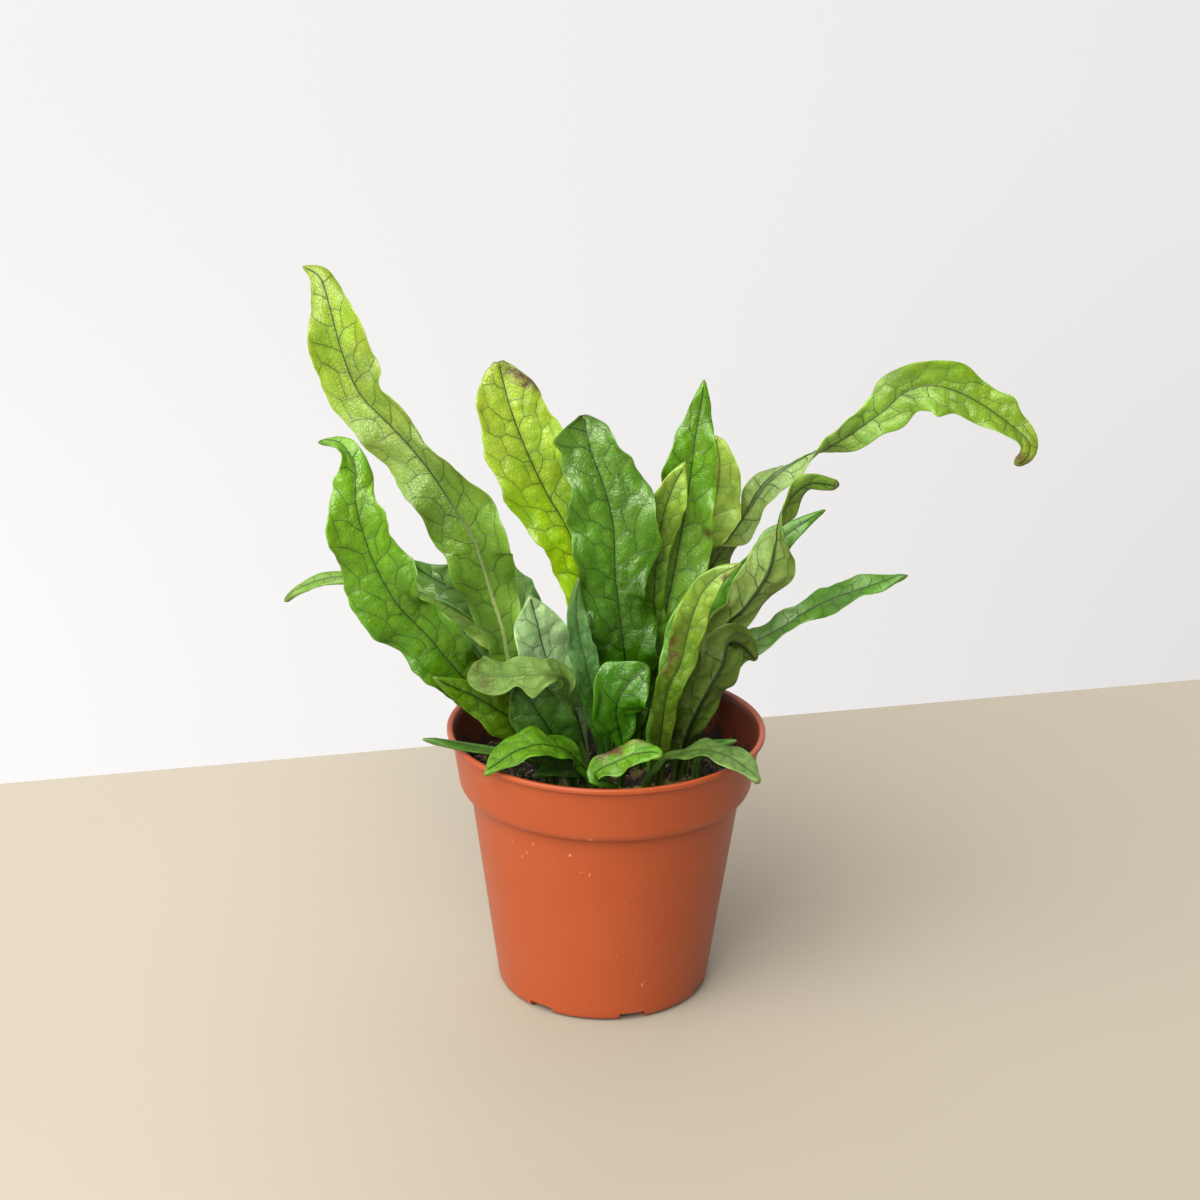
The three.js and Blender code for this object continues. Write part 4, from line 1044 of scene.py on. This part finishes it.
def vein_lines(leaf, net, thick, spacing):
    """The net's lines that lie on the blade and the rib's own line, each with half widths that
    narrow towards the margin and towards the tip."""
    along, wide = leaf.along[:, 0], leaf.wide
    room = np.interp(net[..., 0], along, wide) / 2
    width_left = np.clip((room - np.abs(net[..., 1]) - 0.3) / 1.5, 0, 1)
    open_here = np.interp(net[..., 0], along, leaf.opened[:, 0]) > 0.12
    seen = (width_left * open_here).max(axis=1) > 0
    net, thick, width_left = net[seen], thick[seen], width_left[seen]
    net_half = VEIN_HALF * thick * (0.25 + 0.75 * width_left) * np.clip(spacing / 7.5, 0.6, 1)
    steps = int(leaf.length / 1.5)
    rib = np.stack([np.linspace(6, leaf.length - 1.5, steps), np.zeros(steps)], axis=-1)
    rib_half = (np.interp(rib[:, 0], [0, leaf.length], RIB_HALF_WIDTHS)
                * np.clip(np.interp(rib[:, 0], along, wide) / 6, 0.1, 1))
    return net, net_half, rib[None], rib_half[None]


def raised_veins(leaf, skins, tones, strips, veins, rib_up):
    """The prisms of the net and of the rib on both skins, each a list of points, quads,
    triangles and colours. A vein takes the skin's colour, darkened by the veins' strength. A
    rib that stands up above is pale for its first half."""
    net, net_half, rib, rib_half = strips
    made = []
    for lift, line, half_width, depth in ((NET_LIFT, net, net_half, 0.80 * veins),
                                          (RIB_LIFT, rib, rib_half, min(1.0, 1.15 * veins))):
        row = np.clip(line[..., 0] / leaf.length, 0, 1) * (len(leaf.u) - 1)
        reach = np.interp(line[..., 0], leaf.along[:, 0], leaf.wide) / 2
        share = np.clip(line[..., 1] / np.maximum(reach, 0.1), -0.94, 0.94)
        column = np.interp(share, leaf.s[0], np.arange(leaf.s.shape[1]))
        for skin, way, tone, rise in zip(skins, (1, -1), tones, (RISE_ABOVE, RISE_BELOW)):
            place, up = on_grid(skin, row, column), way * unit(on_grid(leaf.face_way, row, column))
            tone = on_grid(tone, row, column)
            dark = tone * (1 - depth) + tone * VEIN_SHADE * depth
            if line is rib:
                pale = np.clip(rib_up * np.clip(2.4 - 4 * line[..., :1] / leaf.length, 0, 1), 0, 1)
                dark = dark * (1 - pale) + PALE_RIB * pale
            made.append((*vein_strips(place, up, half_width, lift * rise),
                         np.repeat(dark.reshape(-1, 3), 3, axis=0)))
    return made


def grow_frond(name, slot, face, cup, waves, rib, width, tint, turn=(0, 0), under=None,
               rough=0.29, veins=0.85, blister=1.0, ruffle=0.9, spots=(), edges=0.35, rib_up=0.0,
               sides=(1.0, 1.0), lobes=(), fine=1.0):
    """Builds one frond and puts it in place of its solid. face is the way that its upper side
    looks, cup the angle in degrees by which its halves rise, waves the height in mm and number
    of its margin's waves. rib holds places in mm from foot to tip, width and turn its widths in
    mm and its twist in degrees, spaced evenly. tint holds the colours of the upper side from
    foot to tip, under those of the lower one. rough is the roughness, veins the strength of the
    veins' colour, blister and ruffle that of the swelling and of the margin's fine ruffle, and
    fine that of the smallest veins. spots are (u, s, radius in mm, strength) of brown, edges the
    margin's brown, rib_up how far the rib stands out above, sides the factors of the left and the
    right half, a painted shade or light on each half, and lobes the margin's lobes and bays."""
    phases = [next(phases_of) for _ in range(4)]
    seed = sum(map(ord, name))
    leaf = frond_sheet(face, cup, waves, rib, width, turn, phases, ruffle, lobes, seed)
    widest = max(width)
    spacing = float(np.clip(0.44 * widest, 3.8, 9.5))
    net, thick = vein_net(leaf.length, widest, spacing, seed + 2)
    leaf.gap = np.minimum(nearest_vein(leaf.along, leaf.out, net), np.abs(leaf.out))
    skins = swollen_skins(leaf, spacing, blister, rib_up, seed)
    *tones, brown = skin_colours(leaf, tint, under, veins, edges, spots, sides, seed)

    points, quads, corners = closed_sheet(*skins)
    parts, fours, threes, colours = [points], [quads], [corners], [skin_order(*tones)]
    strips = vein_lines(leaf, net, thick, spacing)
    for shape, four, three, dark in raised_veins(leaf, skins, tones, strips, veins, rib_up):
        count = sum(map(len, parts))
        parts.append(shape)
        fours.append(four + count)
        threes.append(three + count)
        colours.append(dark)
    four_count, three_count = sum(map(len, fours)), sum(map(len, threes))
    smooth = np.zeros(four_count + three_count, bool)
    smooth[:len(quads)] = True
    smooth[four_count:four_count + len(corners)] = True
    piece = plain_mesh(name + "_blade", np.concatenate(parts) * MM, np.concatenate(fours),
                       np.concatenate(threes), smooth=smooth)

    total = sum(map(len, parts))
    colour = np.ones((total, 4), np.float32)
    colour[:, :3] = np.concatenate(colours)
    netting = fine * (1 - 0.3 * leaf.s ** 2) * leaf.opened
    look = np.stack([rough + 0.12 * brown[..., 0], netting, 0 * netting], axis=-1)
    veined = np.tile([rough + 0.05, 0.0, 0.0], (total - len(points), 1))
    look = np.concatenate([skin_order(look, look + [0.14, 0, 0]), veined])
    for title, kind, field, values in (("leaf_colour", "FLOAT_COLOR", "color", colour),
                                       ("leaf_look", "FLOAT_VECTOR", "vector", look)):
        layer = piece.data.attributes.new(title, kind, "POINT")
        layer.data.foreach_set(field, np.asarray(values, np.float32).ravel())
    piece.data.materials.append(leaf_skins[slot])
    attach(piece, "root")
    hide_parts(name)


grow_frond(
    "frond_tall_left", "fresh_leaf", face=(0, -1, 0.25), cup=14, waves=(2.2, 7),
    rib=[[-12, 3, 75], [-15, 2, 92], [-28, 0, 113], [-36, -1, 128], [-38.5, -2, 141],
         [-42.5, -3, 155], [-47, -4, 171], [-50, -4, 180], [-65.5, -1, 204], [-78.5, 5, 217.5],
         [-91, 10, 229], [-97.5, 13, 243], [-102, 17, 258], [-106, 22, 269], [-113, 28, 272]],
    width=[2.4, 3, 5, 10, 17, 23, 27, 22, 19.5, 22.5, 23, 15, 1],
    turn=[0, 0, 0, 0, 0, 0, 5, 15, 25, 20, 5, 0, 0],
    tint=[(75, 115, 25), (100, 135, 40), (115, 150, 50), (115, 155, 50), (105, 145, 35),
          (115, 150, 45), (140, 165, 70), (150, 175, 55), (155, 180, 50), (150, 170, 40)],
    rough=0.31, blister=0.6, rib_up=0.8,
    lobes=((-1, 0.64, 3.5, 12), (1, 0.645, -4.0, 10)))

grow_frond(
    "frond_left_glossy", "deep_leaf", face=(0.1, -1, 0.35), cup=12, waves=(2.4, 6),
    rib=[[-16, -5, 75], [-19, -7, 90], [-31, -11, 106], [-44, -14, 119], [-55.5, -18, 133],
         [-64, -21, 145.5], [-70, -22, 152.5], [-76.5, -24, 161], [-83, -25, 174], [-87, -26, 186],
         [-90, -25, 198], [-91, -20, 212], [-97, -13, 217], [-105, -8, 216]],
    width=[2.4, 3, 8, 15, 20.5, 25.5, 27.5, 25.5, 20.5, 10, 1],
    turn=[0, 0, 0, 0, 8, 20, 25, 18, 5, -20, -40],
    tint=[(65, 100, 10), (75, 115, 8), (80, 120, 8), (85, 135, 10), (105, 155, 20), (120, 170, 25),
          (120, 165, 50)],
    rough=0.24,
    lobes=((1, 0.83, -2.0, 5), (1, 0.745, -2.5, 5), (1, 0.66, 1.5, 5), (1, 0.56, -4.5, 7),
           (-1, 0.78, 1.0, 6), (-1, 0.62, 1.5, 6)))

grow_frond(
    "frond_left_long", "pale_leaf", face=(0, -0.6, 0.8), cup=8, waves=(1.5, 5),
    rib=[[-17, 12, 75], [-21, 14, 90], [-29, 19, 113], [-37, 22, 126], [-50.5, 26, 134.5],
         [-64, 30, 141.5], [-76.5, 34, 145], [-91.5, 37, 147.5], [-107, 39, 147], [-119, 40, 142],
         [-125, 40, 137]],
    width=[2.4, 4, 5, 8, 12, 13, 12, 9, 6, 6, 2],
    tint=[(140, 170, 60), (150, 180, 70), (160, 190, 80), (125, 165, 50), (110, 150, 40),
          (130, 165, 60)],
    rough=0.40, veins=0.7, blister=0.6, fine=0.2)

grow_frond(
    "frond_left_dark", "deep_leaf", face=(0, -0.8, 0.6), cup=10, waves=(1.6, 4),
    rib=[[-9, 10, 75], [-11, 10, 94], [-18, 12, 115], [-29, 14, 128.5], [-37, 15, 138],
         [-48, 16, 146.5], [-56.5, 17, 150.5], [-67, 19, 155.5], [-77, 20, 162]],
    width=[2.4, 3, 5, 9, 13, 15, 14, 13, 1],
    tint=[(50, 90, 15), (75, 120, 35), (90, 135, 50), (105, 150, 60)],
    rough=0.27, fine=0.5)


# ---- Fronds of the middle -----------------------------------------------------------------
# The broad fronds that stand upright in the middle, rooted in the rhizome between the others: a
# pale one behind, a broad dark one in front of it, a pointed one and narrower ones by it.

grow_frond(
    "frond_broad_pale", "pale_leaf", face=(0.1, -1, 0.3), cup=9, waves=(1.6, 6),
    rib=[[0, 12, 75], [-2, 12, 92], [-6, 13, 117], [-9, 15, 145], [-14, 17, 172], [-24, 20, 190],
         [-32, 22, 207], [-37, 24, 220], [-40, 27, 230], [-41.5, 28, 237]],
    width=[2.4, 3, 3.5, 6, 9, 14, 21, 27, 30, 30, 24, 15],
    tint=[(100, 130, 20), (135, 165, 20), (165, 200, 20), (165, 200, 20), (150, 185, 15),
          (165, 190, 55), (170, 190, 55)],
    rough=0.26, blister=0.8,
    spots=((0.965, 0.75, 5, 0.9), (0.93, 0.98, 3.5, 0.8)))

grow_frond(
    "frond_broad_dark", "deep_leaf", face=(0.1, -1, 0.3), cup=10, waves=(2.6, 6),
    rib=[[7, -3, 75], [8, -4, 92], [9, -8, 115], [6.5, -10, 136], [4.5, -11, 152], [2.5, -11, 168],
         [1.5, -9, 186], [-2, -7, 200], [-7, -4, 213], [-10, 0, 225]],
    width=[2.4, 3, 6, 14, 22, 25.5, 26, 29, 33, 30.5, 24, 12],
    tint=[(35, 75, 5), (50, 90, 5), (50, 95, 5), (50, 100, 5), (65, 115, 10), (90, 140, 30),
          (95, 140, 40), (90, 130, 45)],
    rough=0.24,
    lobes=((1, 0.90, -2.5, 5), (1, 0.66, 2.0, 5), (1, 0.57, -4.5, 6), (-1, 0.955, 3.5, 3.5),
           (-1, 0.86, -2.5, 5)))

grow_frond(
    "frond_pointed", "fresh_leaf", face=(-0.1, -1, 0.3), cup=14, waves=(1.8, 6),
    rib=[[15, 6, 75], [16, 6, 92], [17, 6, 112], [20, 7, 138], [24, 8, 160], [28, 9, 186],
         [30, 10, 202], [31, 11, 213], [33, 13, 226], [34, 15, 235]],
    width=[2.4, 3, 5, 9, 15, 20, 23, 23, 18, 12, 1],
    tint=[(50, 95, 15), (80, 130, 35), (115, 160, 60), (120, 165, 45), (105, 155, 25),
          (105, 155, 25)],
    rough=0.25,
    lobes=((1, 0.84, 1.5, 5), (-1, 0.80, 1.5, 5), (-1, 0.72, -1.5, 5), (1, 0.60, 2, 6)),
    spots=((0.66, 0.85, 2.2, 0.9),))

grow_frond(
    "frond_behind_pointed", "pale_leaf", face=(0.1, -1, 0.3), cup=8, waves=(1.5, 5),
    rib=[[20, 17, 75], [23, 18, 95], [28, 20, 123], [31, 21, 152], [36, 23, 172], [40, 25, 188],
         [41, 27, 200], [39, 30, 209]],
    width=[2.4, 3, 5, 9, 14, 19, 20, 17, 5],
    tint=[(150, 180, 60), (185, 210, 90), (190, 215, 95)],
    veins=0.5,
    lobes=((1, 0.80, 2.5, 4), (1, 0.60, 2, 4)))

grow_frond(
    "frond_narrow_middle", "deep_leaf", face=(0.2, -1, 0.2), cup=15, waves=(1, 4),
    rib=[[13, 1, 75], [13, 1, 92], [14, 1, 110], [17.5, 0, 139], [17, 0, 155], [17.5, 0, 170],
         [19.5, 0, 186], [23, 0, 198], [27.5, 1, 208]],
    width=[2.4, 3, 5, 8, 9, 9, 8, 12, 14, 1],
    tint=[(60, 110, 10), (70, 120, 15), (85, 135, 20), (105, 150, 30), (135, 170, 45),
          (165, 190, 80)],
    rough=0.24)

grow_frond(
    "frond_edge_right", "deep_leaf", face=(0, -1, 0.3), cup=15, waves=(1, 4),
    rib=[[17, -8, 75], [17, -10, 90], [19, -14, 111], [22.5, -16, 126.5], [24, -16, 138.5],
         [25.5, -15, 150], [28, -14, 158.5], [31, -13, 163]],
    width=[2.4, 3, 6, 8, 9, 9, 7, 1],
    tint=[(90, 140, 40), (110, 155, 60)],
    rough=0.3)


# ---- Fronds of the right side -------------------------------------------------------------
# Fronds that lean right from the rhizome: the longest one, which twists twice and arches over,
# one that is curled so that its underside shows, two low dark ones and two folded ones.

grow_frond(
    "frond_long_right", "fresh_leaf", face=(0, -1, 0.3), cup=12, waves=(1.8, 8),
    rib=[[23, 9, 75], [24, 10, 92], [26, 12, 112], [31, 13, 141], [39, 15, 163], [48, 16, 177],
         [58, 16, 195], [70, 16, 204], [84, 15, 212], [99, 13, 224], [107, 12, 232],
         [116, 11, 235], [126, 10, 233], [136, 9, 228], [146, 8, 221], [152, 6, 216],
         [152, 5, 211], [148, 6, 207]],
    width=[2.4, 3, 5, 9, 13, 15, 13, 13, 11, 12, 15, 18.5, 16, 11, 4],
    turn=[0, 0, 0, 0, 0, -20, -110, -145, -110, -30, 0, 0, 10, 20, 30],
    tint=[(85, 130, 35), (95, 125, 35), (100, 120, 40), (100, 125, 35), (110, 140, 45),
          (130, 160, 60), (140, 170, 80), (140, 175, 75), (130, 165, 50), (130, 165, 35),
          (135, 165, 40), (150, 170, 60)],
    under=[(85, 110, 25), (90, 110, 30), (95, 115, 35), (95, 115, 35), (100, 120, 40),
           (105, 125, 45), (155, 180, 105), (165, 190, 115), (150, 175, 80), (140, 165, 50),
           (140, 165, 45), (150, 170, 60)],
    rough=0.34, veins=0.8,
    lobes=((1, 0.72, 1.5, 5), (-1, 0.74, 1.0, 6), (1, 0.81, 2.0, 4), (-1, 0.83, 1.5, 5),
           (-1, 0.90, 1.5, 4)),
    spots=((0.985, 0.9, 3, 0.9), (0.99, -0.9, 2.5, 0.8)))

grow_frond(
    "frond_curled_right", "pale_leaf", face=(-0.2, 1, 0.3), cup=10, waves=(1.6, 5),
    rib=[[29, -5, 75], [30, -6, 92], [35, -8, 120], [43, -9, 147], [50, -10, 156], [58, -10, 169],
         [61, -10, 180], [62, -10, 190], [66, -8, 198], [73, -7, 203], [83, -6, 202]],
    width=[2.4, 3, 5, 10, 16, 15, 17, 19, 14, 11, 4],
    turn=[0, 0, 0, 0, 0, 0, 0, 30, 120, 160, 180],
    tint=[(95, 125, 15), (115, 145, 25), (135, 165, 45), (140, 165, 50), (125, 155, 45),
          (130, 165, 50), (125, 160, 60)],
    rough=0.34, veins=0.9,
    spots=((0.995, 0.9, 2, 0.8),))

grow_frond(
    "frond_dark_right", "deep_leaf", face=(0, -0.9, 0.5), cup=12, waves=(1.2, 4),
    rib=[[30, 10, 75], [30, 9, 92], [31, 9, 112], [35, 8, 132], [45, 7, 150], [53, 8, 163],
         [62, 9, 174], [72, 10, 182], [80, 11, 187]],
    width=[2.4, 3, 5, 9, 12, 13, 12, 10, 7, 1],
    tint=[(60, 110, 15), (80, 135, 25), (90, 145, 35)],
    rough=0.34, fine=0.4,
    lobes=((1, 0.78, 3, 9), (-1, 0.84, 2, 6)))

grow_frond(
    "frond_low_right", "deep_leaf", face=(0, -0.5, 0.9), cup=10, waves=(1.4, 5),
    rib=[[34, 1, 75], [34, 1, 92], [34, 1, 107], [37, 0, 118], [43, -1, 128], [53, 0, 137],
         [65, 2, 143.5], [73, 3, 149], [82, 1, 155], [95, -1, 161], [110, -4, 167]],
    width=[2.4, 3, 5, 9, 13, 13, 10, 9, 12, 9, 1],
    tint=[(60, 95, 25), (70, 105, 25), (85, 125, 45), (90, 130, 45), (80, 130, 25), (85, 135, 30)],
    rough=0.40, blister=0.5, fine=0.2,
    lobes=((-1, 0.74, 2.0, 4), (-1, 0.62, 1.5, 4), (-1, 0.68, -1.2, 2.5), (1, 0.78, 3.0, 7)))

grow_frond(
    "frond_front_pale", "pale_leaf", face=(-0.1, -1, 0.3), cup=14, waves=(1, 5),
    rib=[[20, -15, 75], [20, -15, 92], [20.5, -18, 109], [22.5, -22, 127.5], [26.5, -25, 138.5],
         [28.5, -26, 149], [30.5, -28, 159], [34, -29, 168.5], [40, -29, 175.5],
         [47.5, -29, 179.5]],
    width=[2.4, 3.4, 8, 9.5, 10.5, 11, 12, 9, 1],
    tint=[(70, 90, 10), (70, 90, 10), (85, 110, 20), (110, 145, 30), (140, 170, 50),
          (160, 190, 80)],
    # Painted shade on the left half and painted light on the right half.
    rough=0.3, veins=0.7, sides=(0.85, 1.05),
    spots=((0.60, -0.9, 4, 0.85), (0.65, -0.95, 3, 0.8), (0.54, -0.7, 2, 0.7),
           (0.93, 0.95, 2, 0.8)))

grow_frond(
    "frond_folded_right", "fresh_leaf", face=(-0.2, 0.9, 0.4), cup=10, waves=(1.4, 4),
    rib=[[26, -9, 75], [27, -11, 92], [31, -15, 111], [37, -18, 126], [42, -19, 137],
         [44, -18, 145], [49, -14, 143], [55, -9, 135]],
    width=[2.4, 4, 9, 15, 18, 17, 12, 3],
    tint=[(60, 80, 12), (60, 85, 10), (75, 100, 20), (85, 110, 25)],
    under=[(65, 85, 15), (70, 90, 15), (90, 115, 30), (95, 120, 35)],
    rough=0.36, veins=0.9)


# ---- Fronds over the rim ------------------------------------------------------------------
# Smaller fronds at the front of the rhizome. Most hang out over the pot's rim, and one is bent
# over, so that the pale underside of its blade shows.

grow_frond(
    "frond_folded_front", "pale_leaf", face=(0, 0.75, -0.65), cup=8, waves=(1.2, 5),
    rib=[[-6, -11, 75], [-7.5, -12, 92], [-13, -14.5, 109], [-15, -16.5, 120.5], [-15, -21.5, 130],
         [-20.5, -27.5, 135.5], [-30, -29, 136], [-38, -30, 135.5], [-46, -31, 136.5],
         [-49.5, -31, 138.5]],
    width=[2.4, 3, 4, 5, 6, 12, 13, 13, 9],
    tint=[(60, 95, 15), (80, 120, 35), (110, 145, 60), (105, 140, 55)],
    under=[(70, 100, 25), (90, 125, 40), (120, 150, 65), (115, 145, 60)],
    rough=0.42, veins=0.22, ruffle=1.2,
    spots=((0.93, 0.6, 2.5, 0.5),),
    lobes=((1, 0.65, -3.8, 6), (1, 0.765, 2.5, 3), (1, 0.83, -2.0, 3), (1, 0.91, 1.5, 4),
           (-1, 0.975, 2.0, 4.5), (-1, 0.64, 1.5, 3), (-1, 0.55, -2.2, 4)))

grow_frond(
    "frond_front_left", "deep_leaf", face=(0, -0.9, 0.4), cup=8, waves=(1.4, 4),
    rib=[[-18, -12, 75], [-20, -13, 92], [-25, -15, 104], [-31, -17, 111], [-38, -21, 117],
         [-47, -25, 124.5], [-57, -29, 131], [-63, -31, 135]],
    width=[2.4, 3, 7, 14, 18, 17, 13, 8, 1],
    tint=[(60, 95, 20), (85, 110, 25), (95, 130, 15), (90, 135, 10)],
    rough=0.27)

grow_frond(
    "frond_over_rim_left", "fresh_leaf", face=(-0.2, -0.5, 0.9), cup=6, waves=(1, 4),
    rib=[[-2, -17, 75], [-4, -19, 87], [-9, -23, 97], [-14, -27, 104.5], [-20, -32, 109],
         [-26, -36.5, 111], [-34, -42, 110], [-39.5, -47, 107.5], [-43.5, -51, 105]],
    width=[2.4, 3, 4, 8, 14, 16, 15, 10, 1],
    tint=[(60, 105, 10), (80, 130, 15), (105, 155, 25), (110, 160, 35)],
    rough=0.33)

grow_frond(
    "frond_thin_left", "fresh_leaf", face=(0, -0.2, 1), cup=8, waves=(0.6, 3),
    rib=[[-22, -11, 75], [-23, -13, 88], [-27, -19, 97], [-35, -24, 102], [-44, -27, 104.5],
         [-54, -29, 107.3], [-67, -31, 110.5]],
    width=[2.4, 3, 4, 5, 6, 5, 1],
    tint=[(65, 110, 25), (80, 125, 35), (85, 130, 40)],
    rough=0.35, veins=0.5)

grow_frond(
    "frond_small_front", "fresh_leaf", face=(0, -0.6, 0.8), cup=8, waves=(0.8, 4),
    rib=[[4, -18, 75], [4, -20, 86], [1, -25, 91], [-3.5, -29, 95], [-2.5, -31, 99], [3, -33, 103],
         [11, -36, 108], [17, -39.5, 110], [20.5, -42, 109.5]],
    width=[2.4, 3, 3.5, 6, 10, 12, 10, 3],
    tint=[(70, 115, 10), (95, 150, 25), (115, 165, 40), (105, 160, 35)],
    rough=0.33,
    spots=((0.66, -0.95, 3.5, 0.95), (0.74, -1.0, 3, 0.95), (0.58, -0.9, 3, 0.95),
           (0.85, -1.0, 2.5, 0.9)))

grow_frond(
    "frond_over_rim_right", "fresh_leaf", face=(0.2, -0.4, 0.9), cup=6, waves=(1, 4),
    rib=[[14, -16, 75], [15, -18, 88], [20, -23, 98], [27, -29, 105], [35, -36, 110],
         [43, -43, 111], [50, -50, 109.5], [55, -56, 106]],
    width=[2.4, 3, 6, 9, 11, 12, 11, 2],
    tint=[(60, 100, 25), (80, 115, 40), (100, 130, 60), (115, 145, 75)],
    rough=0.4, veins=0.6)

grow_frond(
    "frond_small_right", "fresh_leaf", face=(0, -0.5, 0.9), cup=8, waves=(0.6, 3),
    rib=[[33, -7, 75], [34, -8, 88], [36, -13, 99], [39, -18, 104], [43, -23, 107], [48, -27, 110]],
    width=[2.4, 3, 5, 6, 5, 1],
    tint=[(60, 105, 25), (75, 120, 40)],
    rough=0.38, veins=0.5)

grow_frond(
    "frond_small_left", "deep_leaf", face=(0, -0.5, 0.9), cup=8, waves=(0.6, 3),
    rib=[[-7, -17, 75], [-8, -18, 87], [-11.5, -21.5, 94.5], [-19.5, -28, 97.5], [-27, -34, 97.5]],
    width=[2.4, 3, 8, 8, 1],
    tint=[(35, 65, 15), (50, 85, 20), (60, 95, 25)],
    rough=0.35, veins=0.5)


# ---- Small fronds in the middle -----------------------------------------------------------
# Young fronds between the stalks of the large ones: one whose pale silvery tint is a painted
# sheen of strong light, a narrow one folded upwards along its rib, and a short glossy one.

# Painted sheen: the silvery frond's pale, bluish tint stands in for the light and the sheen on it.
grow_frond(
    "frond_silvery", "fresh_leaf", face=(0.1, -0.9, 0.5), cup=8, waves=(1.2, 4),
    rib=[[-6, 4, 75], [-8, 3, 92], [-11.5, -1, 109], [-17, -6, 120.5], [-21.5, -8, 131],
         [-24, -8, 139], [-26, -8, 148], [-29, -6, 158]],
    width=[2.4, 3, 4, 8, 13, 18, 20, 18, 1],
    tint=[(120, 155, 90), (160, 190, 130), (165, 195, 140), (150, 180, 120)],
    rough=0.3, veins=0.85)

grow_frond(
    "frond_narrow_left", "deep_leaf", face=(0, -1, 0.2), cup=22, waves=(1, 4),
    rib=[[0, -6, 75], [0, -8, 92], [-3, -13, 112], [-6.5, -16, 130], [-10, -17.5, 146],
         [-11.5, -18, 159], [-10.5, -18, 169.5]],
    width=[2.4, 3, 7, 10, 11, 8, 1],
    tint=[(40, 80, 15), (55, 100, 25), (70, 120, 40), (95, 140, 80), (90, 130, 60)],
    rough=0.22, veins=0.6)

grow_frond(
    "frond_young_front", "fresh_leaf", face=(0.25, -0.8, 0.55), cup=8, waves=(1.4, 3),
    rib=[[5, -14, 75], [6, -15, 90], [5.5, -17, 106], [3.5, -18.5, 116], [5, -19, 124],
         [10, -18.5, 131], [15, -17.5, 135.5]],
    width=[2.4, 3, 3.5, 4, 15, 24, 18, 5],
    tint=[(40, 85, 5), (50, 100, 8), (65, 120, 12), (75, 135, 20)],
    rough=0.22,
    lobes=((-1, 0.86, 3, 3), (-1, 0.72, -2, 4)))


# ---- Fronds of the back -------------------------------------------------------------------
# The fronds that lean away on the far side of the rhizome, so that the plant is round. They
# are like those of the front, in one plain green.
BACK_TINT = [(70, 120, 30), (85, 135, 35), (95, 140, 40)]

grow_frond(
    "frond_back_left", "fresh_leaf", face=(0, -0.3, 1), cup=10, waves=(1.8, 5),
    rib=[[-14, 18, 75], [-17, 20, 92], [-26, 30, 116], [-35, 44, 133], [-42, 60, 142],
         [-47, 74, 142]],
    width=[2.4, 3, 9, 17, 20, 17, 1],
    tint=BACK_TINT)

grow_frond(
    "frond_back_middle", "deep_leaf", face=(0, -0.3, 1), cup=10, waves=(2, 5),
    rib=[[3, 20, 75], [3, 23, 92], [4, 33, 122], [6, 47, 145], [9, 63, 158], [12, 78, 160]],
    width=[2.4, 3, 10, 18, 22, 18, 1],
    tint=BACK_TINT)

grow_frond(
    "frond_back_right", "fresh_leaf", face=(0, -0.3, 1), cup=10, waves=(1.8, 5),
    rib=[[17, 19, 75], [19, 23, 92], [24, 35, 122], [29, 49, 142], [34, 64, 151], [38, 78, 150]],
    width=[2.4, 3, 9, 16, 19, 15, 1],
    tint=BACK_TINT)

grow_frond(
    "frond_back_low", "pale_leaf", face=(0, -0.2, 1), cup=8, waves=(1.2, 4),
    rib=[[10, 27, 75], [11, 31, 88], [14, 42, 102], [18, 55, 110], [22, 68, 110], [24, 78, 104]],
    width=[2.4, 3, 9, 13, 13, 9, 1],
    tint=BACK_TINT)

grow_frond(
    "frond_back_far_left", "deep_leaf", face=(0, -0.3, 1), cup=10, waves=(1.4, 4),
    rib=[[-26, 9, 75], [-31, 14, 90], [-41, 26, 106], [-50, 37, 118], [-61, 47, 124],
         [-70, 55, 123]],
    width=[2.4, 3, 8, 14, 15, 12, 1],
    tint=BACK_TINT)

grow_frond(
    "frond_back_far_right", "deep_leaf", face=(0, -0.3, 1), cup=10, waves=(1.4, 4),
    rib=[[31, 16, 75], [33, 19, 92], [39, 32, 113], [45, 47, 126], [50, 62, 131], [54, 75, 128]],
    width=[2.4, 3, 8, 14, 16, 12, 1],
    tint=BACK_TINT)


# ---- Frond under the fold -----------------------------------------------------------------
# A short broad frond at the front that stands in the shade of the folded one: it rises from the
# rhizome behind the rim's small fronds, and its tip ends below the fold.

grow_frond(
    "frond_under_fold", "deep_leaf", face=(0, -1, 0.3), cup=8, waves=(1.2, 3),
    rib=[[-12, -14, 75], [-12.5, -15, 88], [-16, -17.5, 101], [-20.5, -20.5, 110],
         [-25, -22.5, 118], [-29, -23, 125], [-32.5, -23, 131]],
    width=[2.4, 3, 8, 17, 23, 19, 10],
    tint=[(40, 80, 15), (55, 95, 25), (60, 100, 30)])
